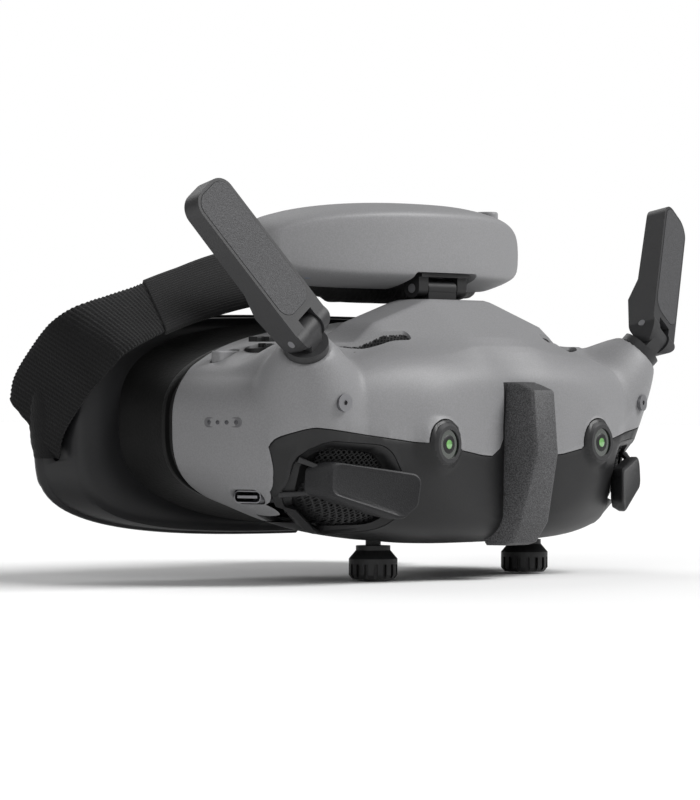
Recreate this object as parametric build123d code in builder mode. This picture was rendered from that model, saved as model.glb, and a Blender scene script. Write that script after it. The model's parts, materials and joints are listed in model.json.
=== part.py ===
"""FPV goggles: a head-worn drone display with folding antennas, a forehead battery and a strap.

Frame, in millimetres: +X towards the wearer's left, +Y towards the wearer's face, +Z up.
The origin is on the flat land of the belly, midway between the two adjusting knobs.
Names ending in _l are on the wearer's left (+X) and names ending in _r on the right (-X).
"""
from build123d import *
from math import cos, sin, pi, radians
import os

os.makedirs("parts", exist_ok=True)

# ---------------------------------------------------------------- driving dimensions
WALL = 2.0                  # casing wall
RUN = 0.05                  # radial clearance of a running fit
GAP = 0.3                   # clearance between moving neighbours

CASING_REAR = 29.0          # rear edge of the grey casing
GASKET_REAR = 34.0          # rear edge of the sealing ring behind it
SEAM_COVER = 6.5            # height of the seam between casing and belly cover
SEAM_PANEL_REAR = -2.0      # the front panel ends here on the flanks

EYE_SPACING = 66.0          # spacing of the two eyepieces at rest
EYE_HEIGHT = 30.0           # height of the optical axes
CAMERA_X = 33.6             # stereo cameras on the front panel
CAMERA_Z = 26.3
BARREL_R = 14.0
KNOB_R = 6.35
SHAFT_R = 2.0
RAIL_R = 1.5
RAIL_Y = 8.0
RAIL_LOW = 9.8
RAIL_HIGH = 47.2

FACE_HALF_WIDTH = 86.5      # face frame
FACE_TOP = 60.0
FACE_BOTTOM = 2.4
FOAM_DEPTH = 6.5

HINGE_Y = 5.0               # forehead unit hinge
HINGE_Z = 67.4
HINGE_PIN_R = 1.2

SWIVEL_BASE = (72.2, -9.7, 50.6)     # centre of the left antenna's turret on the casing
SWIVEL_AXIS = (0.557, -0.411, 0.721)
FOLD_AXIS = (0.797, 0.024, -0.603)   # along the hinge pin of the left antenna
FOLD_HEIGHT = 6.6                    # hinge pin above the turret's base
FOLD_REST = 41.4                     # lean of the blade back from the turret's axis, degrees
TURRET_R = 5.8

STRAP_Y = 69.5              # the strap turns about a line through both temple slots
STRAP_Z = 34.0
STRAP_LEAN = 26.7           # lean of the strap loop forwards from the vertical, degrees
STRAP_WIDTH = 24.0
STRAP_X = 87.6              # inner face of the strap at the temples

SIDES = {"l": 1, "r": -1}


def save_node(builder, name):
    """Label a finished piece and write its STEP file."""
    builder.part.label = name
    export_step(builder.part, f"parts/{name}.step")


# ---------------------------------------------------------------- casing outlines
def front_outline(y, inset):
    """The casing's outline seen from the front, on the plane at depth y."""
    with BuildSketch(Plane.XZ.offset(-y)) as outline:
        with BuildLine():
            ThreePointArc((-60, 51), (0, 57.8), (60, 51))
            ThreePointArc((60, 51), (73.5, 44.5), (79.5, 32))
            ThreePointArc((79.5, 32), (73, 10), (52, -1))
            Line((52, -1), (-52, -1))
            ThreePointArc((-52, -1), (-73, 10), (-79.5, 32))
            ThreePointArc((-79.5, 32), (-73.5, 44.5), (-60, 51))
        make_face()
        offset(amount=-inset, mode=Mode.REPLACE)
    return outline.sketch


def casing_form(inset):
    """Solid bounded by the casing's plan, front and side outlines, each pulled in by inset."""
    with BuildPart() as form:
        with BuildSketch(Plane.XY.offset(-10)):
            with BuildLine():
                Line((-36, -24), (36, -24))
                ThreePointArc((36, -24), (61, -15.5), (76, 0))
                ThreePointArc((76, 0), (79.2, 14), (79.5, 31))
                Line((79.5, 31), (-79.5, 31))
                ThreePointArc((-79.5, 31), (-79.2, 14), (-76, 0))
                ThreePointArc((-76, 0), (-61, -15.5), (-36, -24))
            make_face()
            offset(amount=-inset, mode=Mode.REPLACE)
        extrude(amount=90)
        extrude(front_outline(CASING_REAR, inset), amount=60, mode=Mode.INTERSECT)
        with BuildSketch(Plane.YZ.offset(-90)):
            with BuildLine():
                Line((32, 58.2), (-12, 52))
                ThreePointArc((-12, 52), (-20, 48.5), (-24, 42))
                Line((-24, 42), (-24, 8))
                ThreePointArc((-24, 8), (-21.5, 2), (-16, 0))
                Line((-16, 0), (12, 0))
                Line((12, 0), (32, 7.5))
                Line((32, 7.5), (32, 58.2))
            make_face()
            offset(amount=-inset, mode=Mode.REPLACE)
        extrude(amount=180, mode=Mode.INTERSECT)
    return form.part


def plan_band(front_centre, front_end, rear_centre, rear_end, half_width, low, high):
    """Upright band between two arcs seen from above; each arc is given at its centre and its ends."""
    with BuildPart() as band:
        with BuildSketch(Plane.XY.offset(low)):
            with BuildLine():
                ThreePointArc((-half_width, front_end), (0, front_centre), (half_width, front_end))
                Line((half_width, front_end), (half_width, rear_end))
                ThreePointArc((half_width, rear_end), (0, rear_centre), (-half_width, rear_end))
                Line((-half_width, rear_end), (-half_width, front_end))
            make_face()
        extrude(amount=high - low)
    return band.part


# central hump that carries the forehead hinge
RIDGE_TOP = 64.4
RIDGE_HALF_TOP = 13.8
RIDGE_HALF_BASE = 36.0

with BuildPart() as ridge_form:
    with BuildSketch(Plane.XZ.offset(-CASING_REAR)):
        with BuildLine():
            Polyline(
                (-RIDGE_HALF_BASE, 50),
                (-RIDGE_HALF_BASE, 57),
                (-RIDGE_HALF_TOP, RIDGE_TOP),
                (RIDGE_HALF_TOP, RIDGE_TOP),
                (RIDGE_HALF_BASE, 57),
                (RIDGE_HALF_BASE, 50),
                close=True,
            )
        make_face()
    extrude(amount=CASING_REAR + 21)
    with BuildSketch(Plane.YZ.offset(-RIDGE_HALF_BASE)):
        with BuildLine():
            Polyline(
                (-21, 49),
                (-20.5, 50.5),
                (-2, RIDGE_TOP),
                (8.5, RIDGE_TOP),
                (14, 59),
                (CASING_REAR, 58.2),
                (CASING_REAR, 49),
                close=True,
            )
        make_face()
    extrude(amount=2 * RIDGE_HALF_BASE, mode=Mode.INTERSECT)
    fillet(ridge_form.edges().group_by(Axis.Z)[-1], radius=1.5)


def mirrored(vector, side):
    """The same vector on the wearer's left (side 1) or right (side -1)."""
    return Vector(vector[0] * side, vector[1], vector[2])


def antenna_plane(side, height):
    """Plane across the turret's axis at a height above its base; its x axis runs along the fold pin."""
    axis = mirrored(SWIVEL_AXIS, side)
    origin = mirrored(SWIVEL_BASE, side) + axis * height
    return Plane(origin=origin, x_dir=mirrored(FOLD_AXIS, side) * side, z_dir=axis)


def across_pin(side, angle, shift):
    """Plane square to the fold pin, shifted along it; its x axis leans back from the turret's axis by angle."""
    turret = antenna_plane(side, FOLD_HEIGHT)
    along = turret.z_dir * cos(radians(angle)) + turret.y_dir * sin(radians(angle))
    return Plane(origin=turret.origin + turret.x_dir * shift, x_dir=along, z_dir=turret.x_dir)


def blade_face(side, shift=0.0):
    """Plane of the blade's broad face, shifted forwards from the pin; its y axis runs up the blade."""
    square = across_pin(side, FOLD_REST, 0)
    return Plane(origin=square.origin + square.y_dir * shift, x_dir=square.z_dir, z_dir=square.y_dir)


# whole hollow casing, before it is parted along its seams
with BuildPart() as casing:
    add(casing_form(0))
    add(ridge_form.part)
    for side in SIDES.values():
        with BuildSketch(antenna_plane(side, -18)):
            Circle(11)
        with BuildSketch(antenna_plane(side, 0)):
            Circle(7.2)
        loft()
    add(casing_form(WALL), mode=Mode.SUBTRACT)
    for side in SIDES.values():
        with BuildSketch(antenna_plane(side, 0)):
            Circle(4 + RUN)
        extrude(amount=-30, mode=Mode.SUBTRACT)

# region of the dark front panel, seen from the front: it rises over each camera and each vent
with BuildPart() as panel_region:
    with BuildSketch(Plane.XZ.offset(-SEAM_PANEL_REAR)):
        with BuildLine():
            Polyline(
                (-73, -5), (-73, 20), (-67, 30.5), (-42.6, 26.9), (-25.9, 24.3), (-17.3, 23.1), (-6, 27),
                (6, 27), (17.3, 23.1), (25.9, 24.3), (42.6, 26.9), (67, 30.5), (73, 20), (73, -5),
                close=True,
            )
        make_face()
        with Locations((-CAMERA_X, CAMERA_Z), (CAMERA_X, CAMERA_Z)):
            Circle(6.5)
    extrude(amount=40)

with BuildPart() as cover_region:
    with Locations((0, 20, SEAM_COVER / 2)):
        Box(180, 2 * (20 - SEAM_PANEL_REAR), SEAM_COVER)

VENT_X = 57.5               # middle of each corner vent
VENT_Z = 15.5
VENT_SIZE = (27.0, 21.0)
FIN_SPOT = (55.0, -20.2, 14.0)       # middle of the fin's front face
FIN_AXIS = (0.42, -0.907, 0.0)       # the fin faces forwards and outwards
PORT_Y = 9.0                # ports in the flanks
PORT_Z = 13.0
BACK_BUTTON = (-65.1, 23.3)
JOYSTICK = (-57.6, 17.1)
LINK_BUTTON = (62.0, 20.0)
POST_SPOT = (64.7, -13.6, 37.0)
POST_AXIS = (0.174, -0.985, 0.0)     # the posts point forwards and a little outwards
POST_HEAD_R = 2.25
POST_HEAD_LENGTH = 2.6


def post_plane(side, lift=0.9):
    """Plane across an accessory post, at a height above the casing's surface."""
    axis = mirrored(POST_AXIS, side)
    return Plane(origin=mirrored(POST_SPOT, side) + axis * lift, z_dir=axis)


# ---------------------------------------------------------------- casing pieces
with BuildPart() as front_shell:
    add(casing.part)
    add(panel_region.part, mode=Mode.SUBTRACT)
    add(cover_region.part, mode=Mode.SUBTRACT)
    # recess for the hinge bracket in the ridge
    with Locations((0, HINGE_Y, RIDGE_TOP)):
        Box(21, 7, 4.8, mode=Mode.SUBTRACT)
    # wells for the controls on top
    for spot, size in ((BACK_BUTTON, (9.6, 3.6)), (LINK_BUTTON, (9.6, 3.6)), (JOYSTICK, (9.0, 9.0))):
        with BuildSketch(Plane.XY.offset(70)):
            with Locations(spot):
                SlotOverall(*size) if size[0] > size[1] else Circle(size[0] / 2)
        extrude(amount=-26, mode=Mode.SUBTRACT)
    # air inlets on both shoulders beside the ridge
    for side in SIDES.values():
        with BuildSketch(Plane.XY.offset(70)):
            with Locations((side * 24, 6)):
                with GridLocations(0, 2.6, 1, 2):
                    SlotOverall(22, 1.4)
        extrude(amount=-22, mode=Mode.SUBTRACT)
    # ports, status light window and posts
    with Locations((-76, PORT_Y, PORT_Z)):
        Box(20, 9.2, 3.4, mode=Mode.SUBTRACT)
    with Locations(Location((76, PORT_Y, PORT_Z), (0, 90, 0))):
        Cylinder(3 + RUN, 20, mode=Mode.SUBTRACT)
    with Locations((-80, 12, 32)):
        Box(8, 11, 2.2, mode=Mode.SUBTRACT)
    for side in SIDES.values():
        with Locations(post_plane(side)):
            Cylinder(1.45, 12, mode=Mode.SUBTRACT)

with BuildPart() as front_panel:
    add(casing.part)
    add(panel_region.part, mode=Mode.INTERSECT)
    for side in SIDES.values():
        with Locations(Location((side * CAMERA_X, -24, CAMERA_Z), (90, 0, 0))):
            Cylinder(4.4 + RUN, 12, mode=Mode.SUBTRACT)
        with BuildSketch(Plane.XZ.offset(0)):
            with Locations((side * VENT_X, VENT_Z)):
                RectangleRounded(*VENT_SIZE, 7)
        extrude(amount=30, mode=Mode.SUBTRACT)
    # seat of the centre strut's two pegs
    with Locations((0, -22, 12), (0, -22, 22)):
        Box(4, 6, 4, mode=Mode.SUBTRACT)

LAND_LENGTH = 38.0
LAND_WIDTH = 20.0
LAND_STEP = 0.5
SLOT_INNER = EYE_SPACING / 2 - 5 - SHAFT_R - GAP
SLOT_OUTER = EYE_SPACING / 2 + 3 + SHAFT_R + GAP

with BuildPart() as belly_cover:
    add(casing.part)
    add(cover_region.part, mode=Mode.INTERSECT)
    # the belly steps up around the flat land at its middle
    with BuildSketch(Plane.XY):
        Rectangle(170, 120)
        RectangleRounded(LAND_LENGTH, LAND_WIDTH, 3, mode=Mode.SUBTRACT)
    extrude(amount=LAND_STEP, mode=Mode.SUBTRACT)
    # slots that let the knob shafts slide sideways
    for side in SIDES.values():
        with Locations((side * (SLOT_INNER + SLOT_OUTER) / 2, 0, 0)):
            Box(SLOT_OUTER - SLOT_INNER, 2 * (SHAFT_R + GAP), 12, mode=Mode.SUBTRACT)
    with Locations((-76, PORT_Y, PORT_Z)):
        Box(20, 9.2, 3.4, mode=Mode.SUBTRACT)

save_node(front_shell, "front_shell")
save_node(front_panel, "front_panel")
save_node(belly_cover, "belly_cover")

# ---------------------------------------------------------------- front face pieces
MESH_FRONT = -11.6          # front face of the perforated plates

with BuildPart() as center_strut:
    with BuildSketch(Plane.YZ.offset(-5.4)):
        with BuildLine():
            Polyline(
                (-24.2, 41.5), (-30.8, 40.3), (-32.4, 23.4), (-26.9, 5.0), (-25.6, -0.4), (-24.2, 0.5),
                close=True,
            )
        make_face()
    extrude(amount=10.8)
    fillet(center_strut.edges().filter_by(Axis.X).group_by(Axis.Y)[0], radius=2)
    with Locations((0, -24.2, 12), (0, -24.2, 22)):
        Box(3.8, 4, 3.8, align=(Align.CENTER, Align.MIN, Align.CENTER))
save_node(center_strut, "center_strut")

for tag, side in SIDES.items():
    # camera module: a barrel through the front panel with a flanged rim
    with BuildPart(Plane((side * CAMERA_X, -24.2, CAMERA_Z), z_dir=(0, -1, 0))) as camera_module:
        Cylinder(4.4, 8, align=(Align.CENTER, Align.CENTER, Align.MAX))
        with Locations((0, 0, 0)):
            Cylinder(5.6, 1.6, align=(Align.CENTER, Align.CENTER, Align.MIN))
        chamfer(camera_module.faces().sort_by(Axis.Y)[0].edges(), length=0.8)
        with BuildSketch(Plane((side * CAMERA_X, -25.8, CAMERA_Z), z_dir=(0, -1, 0))):
            Circle(3.8)
        extrude(amount=-1.6, mode=Mode.SUBTRACT)
    save_node(camera_module, f"camera_module_{tag}")

    # vent fin: a broad plate that stands in the corner opening on a stay
    fin_axis = mirrored(FIN_AXIS, side)
    with BuildPart() as vent_fin:
        for size, back in (((22, 12.5), 0), ((20, 10), 4)):
            with BuildSketch(Plane(origin=mirrored(FIN_SPOT, side) - fin_axis * back,
                                   x_dir=(0.907, 0.42 * side, 0), z_dir=fin_axis)):
                RectangleRounded(*size, 3.5)
        loft()
        with Locations((side * VENT_X, MESH_FRONT, FIN_SPOT[2])):
            Box(5, 6, 4, align=(Align.CENTER, Align.MAX, Align.CENTER))
    save_node(vent_fin, f"vent_fin_{tag}")

# cover glasses of both cameras
with BuildPart() as camera_glasses:
    with BuildSketch(Plane((0, -24.2, CAMERA_Z), x_dir=(1, 0, 0), z_dir=(0, -1, 0))):
        with Locations((-CAMERA_X, 0), (CAMERA_X, 0)):
            Circle(3.75)
    extrude(amount=1.2)
save_node(camera_glasses, "camera_glasses")

# perforated plates behind both corner openings
with BuildPart() as vent_meshes:
    with BuildSketch(Plane.XZ.offset(-MESH_FRONT - 1)):
        with Locations((1 - VENT_X, VENT_Z), (VENT_X - 1, VENT_Z)):
            RectangleRounded(21, 17, 3)
            for row in (-6, 6):
                with Locations((0, row)):
                    with GridLocations(1.9, 1.9, 8, 2):
                        Rectangle(1.2, 1.2, mode=Mode.SUBTRACT)
    extrude(amount=1.0)
save_node(vent_meshes, "vent_meshes")

# two slotted posts on the upper front, identical, each pressed into the casing
with BuildPart() as accessory_posts:
    for side in SIDES.values():
        with Locations(post_plane(side)):
            Cylinder(1.45, 4, align=(Align.CENTER, Align.CENTER, Align.MAX))
            Cylinder(POST_HEAD_R, POST_HEAD_LENGTH, align=(Align.CENTER, Align.CENTER, Align.MIN))
        with Locations(post_plane(side, 0.9 + POST_HEAD_LENGTH)):
            Hole(0.6, depth=3)
save_node(accessory_posts, "accessory_posts")

# ---------------------------------------------------------------- antennas
BLADE_WIDTH = 13.0
BLADE_TIP = 45.0
BLADE_FRONT = -3.6
ROOT_R = 4.0
TONGUE = 5.0                # thickness and end radius of the turret's tongue
TONGUE_R = 3.4

for tag, side in SIDES.items():
    with BuildPart() as turret:
        with BuildSketch(antenna_plane(side, 0.15)):
            Circle(TURRET_R)
        extrude(amount=2.2)
        with BuildSketch(antenna_plane(side, 0.15)):
            Circle(4)
        extrude(amount=-9)
        with BuildSketch(across_pin(side, 0, -TONGUE / 2)):
            Circle(TONGUE_R)
            Rectangle(FOLD_HEIGHT - 1, 2 * TONGUE_R, align=(Align.MAX, Align.CENTER))
        extrude(amount=TONGUE)
        with BuildSketch(across_pin(side, 0, -TONGUE)):
            Circle(1.0 + RUN)
        extrude(amount=2 * TONGUE, mode=Mode.SUBTRACT)
    save_node(turret, f"antenna_turret_{tag}")

    with BuildPart() as blade:
        # side outline: flat front, a swelling at the back near the root
        with BuildSketch(across_pin(side, FOLD_REST, -BLADE_WIDTH / 2)):
            with BuildLine():
                front = Line((BLADE_TIP, -BLADE_FRONT), (0, -BLADE_FRONT))
                Polyline(front @ 1, (0, -ROOT_R), (10, -5.2), (17, -2.8), (BLADE_TIP, -2.2), front @ 0)
            make_face()
            Circle(ROOT_R)
        extrude(amount=BLADE_WIDTH)
        # front outline: a long plate with a round root and a round-cornered tip
        with BuildSketch(blade_face(side, 8)):
            with Locations((0, BLADE_TIP / 2 - 2)):
                RectangleRounded(BLADE_WIDTH, BLADE_TIP + 4, 4.5)
        extrude(amount=-20, mode=Mode.INTERSECT)
        # fork for the turret's tongue
        with BuildSketch(blade_face(side, 8)):
            with Locations((0, -2)):
                Rectangle(TONGUE + 2 * GAP, 2 * ROOT_R + 4)
        extrude(amount=-20, mode=Mode.SUBTRACT)
        with BuildSketch(across_pin(side, FOLD_REST, -BLADE_WIDTH)):
            Circle(1.0)
        extrude(amount=2 * BLADE_WIDTH, mode=Mode.SUBTRACT)
        # seat of the front cover
        with BuildSketch(blade_face(side, -BLADE_FRONT)):
            with Locations((0, BLADE_TIP / 2 + 2.6)):
                RectangleRounded(BLADE_WIDTH - 1.6, BLADE_TIP - 6.8, 3.7)
        extrude(amount=-0.8, mode=Mode.SUBTRACT)
    save_node(blade, f"antenna_blade_{tag}")

    with BuildPart() as blade_cover:
        with BuildSketch(blade_face(side, -BLADE_FRONT - 0.8)):
            with Locations((0, BLADE_TIP / 2 + 2.6)):
                RectangleRounded(BLADE_WIDTH - 1.8, BLADE_TIP - 7.0, 3.6)
        extrude(amount=0.9)
    save_node(blade_cover, f"antenna_cover_{tag}")

    with BuildPart() as antenna_pin:
        with BuildSketch(across_pin(side, FOLD_REST, -BLADE_WIDTH / 2)):
            Circle(1.0)
        extrude(amount=BLADE_WIDTH)
    save_node(antenna_pin, f"antenna_pin_{tag}")

# ---------------------------------------------------------------- controls, ports and status light
BUTTON_LOW = 46.8           # underside and top of the push buttons
BUTTON_TOP = 50.4
STICK_LOW = 49.8            # underside of the joystick's base
STICK_TOP = 54.2

for name, spot in (("back_button", BACK_BUTTON), ("link_button", LINK_BUTTON)):
    with BuildPart() as button:
        with BuildSketch(Plane.XY.offset(BUTTON_LOW)):
            with Locations(spot):
                SlotOverall(9.0, 3.0)
        extrude(amount=BUTTON_TOP - BUTTON_LOW)
        fillet(button.faces().sort_by(Axis.Z)[-1].edges(), radius=0.5)
    save_node(button, name)

with BuildPart() as joystick_base:
    with Locations((*JOYSTICK, STICK_LOW)):
        Cylinder(4.2, 1.2, align=(Align.CENTER, Align.CENTER, Align.MIN))
save_node(joystick_base, "joystick_base")

with BuildPart() as joystick_cap:
    with BuildSketch(Plane.XY.offset(STICK_TOP - 1.4)):
        with Locations(JOYSTICK):
            Rectangle(7.0, 2.6)
            Rectangle(2.6, 7.0)
            Circle(2.2)
    extrude(amount=1.4)
    fillet(joystick_cap.faces().sort_by(Axis.Z)[-1].edges(), radius=0.4)
save_node(joystick_cap, "joystick_cap")

with BuildPart() as joystick_stem:
    with Locations((*JOYSTICK, STICK_LOW + 1.5)):
        Cylinder(1.0, 1.1, align=(Align.CENTER, Align.CENTER, Align.MIN))
save_node(joystick_stem, "joystick_stem")

with BuildPart() as usb_port:
    with BuildSketch(Plane.YZ.offset(-73)):
        with Locations((PORT_Y, PORT_Z)):
            RectangleRounded(9.0, 3.2, 1.5)
            RectangleRounded(8.4, 2.6, 1.2, mode=Mode.SUBTRACT)
            Rectangle(6.6, 0.7)
    extrude(amount=7)
    with BuildSketch(Plane.YZ.offset(-66)):
        with Locations((PORT_Y, PORT_Z)):
            RectangleRounded(9.0, 3.2, 1.5)
    extrude(amount=1)
save_node(usb_port, "usb_port")

JACK_R = 1.8
JACK_LENGTH = 14.0
with BuildPart() as audio_jack:
    with BuildSketch(Plane.YZ.offset(73.5)):
        with Locations((PORT_Y, PORT_Z)):
            Circle(3.0)
            Circle(JACK_R, mode=Mode.SUBTRACT)
    extrude(amount=-JACK_LENGTH)
save_node(audio_jack, "audio_jack")

with BuildPart() as status_lens:
    with Locations((-77.6, 12, 32)):
        Box(3.0, 10.9, 2.1)
save_node(status_lens, "status_lens")

# ---------------------------------------------------------------- optics
TRAVEL_IN = 5.0             # each eyepiece slides inwards and outwards by these
TRAVEL_OUT = 3.0
FOCUS = 3.0                 # focusing travel each way
PINION_R = 3.0              # pitch radius; FOCUS / PINION_R gives one radian of knob each way
PINION_TEETH = 12
RACK_LOW = 12.2
RACK_HIGH = 14.8
CARRIAGE_HALF = 16.5
CARRIAGE_FRONT = -7.0
CARRIAGE_REAR = 12.0
TOOTH_PITCH = 2 * pi * PINION_R / PINION_TEETH
TOOTH_HALF = TOOTH_PITCH / 4 - 0.08

SCREW_R = 0.9
SCREW_SPOTS = [(x, z) for x in (-62, 62) for z in (22, 36)]


def screw_holes(radius, y, depth):
    """Round holes for the chassis screws, cut forwards from depth y in the piece being made."""
    for x, z in SCREW_SPOTS:
        with Locations(Location((x, y, z), (90, 0, 0))):
            Cylinder(radius, depth, align=(Align.CENTER, Align.CENTER, Align.MIN), mode=Mode.SUBTRACT)


# central chassis plate, which also holds the two guide rails
with BuildPart() as mid_frame:
    with BuildSketch(Plane.XZ.offset(-15)):
        with Locations((0, 28.5)):
            RectangleRounded(132, 33, 14)
        for side in SIDES.values():
            with Locations((side * (EYE_SPACING / 2 - 1), EYE_HEIGHT)):
                SlotOverall(2 * (BARREL_R + 1.2) + TRAVEL_IN + TRAVEL_OUT, 2 * (BARREL_R + 1.2),
                            mode=Mode.SUBTRACT)
    extrude(amount=-2)
    for side in SIDES.values():
        for rail_height in (RAIL_LOW, RAIL_HIGH):
            with Locations((side * 54.6, 15, rail_height)):
                Box(3, 10, 4.4, align=(Align.CENTER, Align.MAX, Align.CENTER))
            with Locations(Location((side * 54.6, RAIL_Y, rail_height), (0, 90, 0))):
                Cylinder(RAIL_R, 5, mode=Mode.SUBTRACT)
    screw_holes(SCREW_R, 24, 12)
save_node(mid_frame, "mid_frame")

with BuildPart() as guide_rails:
    for rail_height in (RAIL_LOW, RAIL_HIGH):
        with Locations(Location((0, RAIL_Y, rail_height), (0, 90, 0))):
            Cylinder(RAIL_R, 112)
save_node(guide_rails, "guide_rails")

for tag, side in SIDES.items():
    middle = side * EYE_SPACING / 2

    # sliding carriage: block with a bore for the barrel, rail bores, and a channel for rack and pinion
    with BuildPart() as carriage:
        with Locations((middle, CARRIAGE_FRONT, 6)):
            Box(2 * CARRIAGE_HALF, CARRIAGE_REAR - CARRIAGE_FRONT, 44,
                align=(Align.CENTER, Align.MIN, Align.MIN))
        with BuildSketch(Plane.XZ.offset(-CARRIAGE_FRONT)):
            with Locations((middle, EYE_HEIGHT)):
                Circle(BARREL_R + RUN)
            with Locations((middle + 1.3, (RACK_LOW + 17.8) / 2 - 0.1)):
                Rectangle(10.6, 17.8 - RACK_LOW + 0.3)
        extrude(amount=-(CARRIAGE_REAR - CARRIAGE_FRONT), mode=Mode.SUBTRACT)
        for rail_height in (RAIL_LOW, RAIL_HIGH):
            with Locations(Location((middle, RAIL_Y, rail_height), (0, 90, 0))):
                Cylinder(RAIL_R + RUN, 60, mode=Mode.SUBTRACT)
        with Locations((middle, 0, 9)):
            Cylinder(SHAFT_R + RUN, 10, mode=Mode.SUBTRACT)
    save_node(carriage, f"lens_carriage_{tag}")

    # eyepiece barrel with its rim and the rack that focuses it
    with BuildPart() as barrel:
        with BuildSketch(Plane.XZ.offset(3.5)):
            with Locations((middle, EYE_HEIGHT)):
                Circle(BARREL_R)
                Circle(BARREL_R - 1.5, mode=Mode.SUBTRACT)
        extrude(amount=-35)
        with BuildSketch(Plane.XZ.offset(-28.5)):
            with Locations((middle, EYE_HEIGHT)):
                Circle(17)
                Circle(BARREL_R - 1.5, mode=Mode.SUBTRACT)
        extrude(amount=-3)
        with Locations((middle + PINION_R + 0.6, 2, RACK_LOW)):
            Box(2.2, 10, 5.6, align=(Align.MIN, Align.CENTER, Align.MIN))
        with Locations((middle + PINION_R + 0.6, 0.5, RACK_LOW)):
            Box(2.2, 13, RACK_HIGH - RACK_LOW, align=(Align.MIN, Align.CENTER, Align.MIN))
        # straight rack teeth with a 20 degree flank
        with BuildSketch(Plane.XY.offset(RACK_LOW)):
            for i in range(-4, 4):
                with Locations((middle + PINION_R, (i + 0.5) * TOOTH_PITCH)):
                    Polygon(
                        (0.7, -TOOTH_HALF - 0.25), (0.7, TOOTH_HALF + 0.25),
                        (-0.3, TOOTH_HALF - 0.11), (-0.3, -TOOTH_HALF + 0.11),
                        align=None,
                    )
        extrude(amount=RACK_HIGH - RACK_LOW)
    save_node(barrel, f"eyepiece_barrel_{tag}")

    with BuildPart() as eyepiece_lens:
        with BuildSketch(Plane.XZ.offset(-25)):
            with Locations((middle, EYE_HEIGHT)):
                Circle(BARREL_R - 1.5)
        extrude(amount=-4.5)
        fillet(eyepiece_lens.faces().sort_by(Axis.Y)[-1].edges(), radius=2.5)
    save_node(eyepiece_lens, f"eyepiece_lens_{tag}")

    with BuildPart() as display:
        with Locations((middle, CARRIAGE_FRONT, EYE_HEIGHT)):
            Box(30, 2, 29.8, align=(Align.CENTER, Align.MAX, Align.CENTER))
    save_node(display, f"display_{tag}")

    # knob below the belly: slotted grip, cone, neck and the shaft with its pinion
    with BuildPart() as knob:
        with BuildSketch(Plane.XZ):
            with BuildLine():
                Polyline(
                    (middle, -9), (middle + KNOB_R - 1, -9), (middle + KNOB_R, -7.8), (middle + KNOB_R, -3.6),
                    (middle + 4.5, -1.4), (middle + 4.5, -0.2), (middle + SHAFT_R, -0.2),
                    (middle + SHAFT_R, RACK_HIGH), (middle, RACK_HIGH),
                    close=True,
                )
            make_face()
        revolve(axis=Axis((middle, 0, 0), (0, 0, 1)))
        with Locations((middle, 0, -7)):
            with PolarLocations(KNOB_R, 16):
                Box(1.6, 1.0, 4, mode=Mode.SUBTRACT)
        with BuildSketch(Plane.XY.offset(RACK_LOW)):
            with Locations((middle, 0)):
                Circle(PINION_R - 0.6)
                with PolarLocations(PINION_R, PINION_TEETH):
                    Polygon(
                        (-0.8, -TOOTH_HALF - 0.1), (0, -TOOTH_HALF), (0.4, -0.17),
                        (0.4, 0.17), (0, TOOTH_HALF), (-0.8, TOOTH_HALF + 0.1),
                        align=None,
                    )
        extrude(amount=RACK_HIGH - RACK_LOW)
    save_node(knob, f"adjusting_knob_{tag}")

# rear cover plate around the eyepieces
with BuildPart() as eyepiece_plate:
    with BuildSketch(Plane.XZ.offset(-22)):
        with Locations((0, 28.5)):
            RectangleRounded(140, 36, 15)
        for side in SIDES.values():
            with Locations((side * (EYE_SPACING / 2 - 1), EYE_HEIGHT)):
                SlotOverall(2 * (BARREL_R + 0.5) + TRAVEL_IN + TRAVEL_OUT, 2 * (BARREL_R + 0.5),
                            mode=Mode.SUBTRACT)
    extrude(amount=-2)
    screw_holes(SCREW_R + RUN, 25, 6)
save_node(eyepiece_plate, "eyepiece_plate")

# ---------------------------------------------------------------- electronics
BOARD_Y = -11.0
with BuildPart() as main_board:
    with Locations((0, BOARD_Y, 30)):
        Box(92, 1.2, 30)
    with Locations((-30, BOARD_Y - 0.6, 38), (30, BOARD_Y - 0.6, 38)):
        Box(14, 1.2, 9, align=(Align.CENTER, Align.MAX, Align.CENTER))
save_node(main_board, "main_board")

with BuildPart() as heat_sink:
    for side in SIDES.values():
        with Locations((side * 30, BOARD_Y - 1.8, 38)):
            Box(20, 1.4, 9, align=(Align.CENTER, Align.MAX, Align.CENTER))
        with Locations((side * 30, BOARD_Y - 3.2, 38)):
            with GridLocations(2.4, 1, 8, 1):
                Box(0.9, 4, 9, align=(Align.CENTER, Align.MAX, Align.CENTER))
save_node(heat_sink, "heat_sink")

FAN_Z = 31.0
with BuildPart() as fan_housing:
    with BuildSketch(Plane.XZ.offset(12.2)):
        with Locations((0, FAN_Z)):
            RectangleRounded(24, 24, 3)
    extrude(amount=6)
    with BuildSketch(Plane.XZ.offset(13.4)):
        with Locations((0, FAN_Z)):
            Circle(10.6)
    extrude(amount=6, mode=Mode.SUBTRACT)
    with BuildSketch(Plane.XZ.offset(13.4)):
        with Locations((0, FAN_Z)):
            Circle(1.0)
    extrude(amount=3)
save_node(fan_housing, "fan_housing")

with BuildPart() as fan_rotor:
    with BuildSketch(Plane.XZ.offset(13.8)):
        with Locations((0, FAN_Z)):
            Circle(4)
            with PolarLocations(6.8, 9):
                Rectangle(6.4, 0.8, rotation=25)
    extrude(amount=3.6)
    with BuildSketch(Plane.XZ.offset(13)):
        with Locations((0, FAN_Z)):
            Circle(1.0 + RUN)
    extrude(amount=3.7, mode=Mode.SUBTRACT)
save_node(fan_rotor, "fan_rotor")

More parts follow.
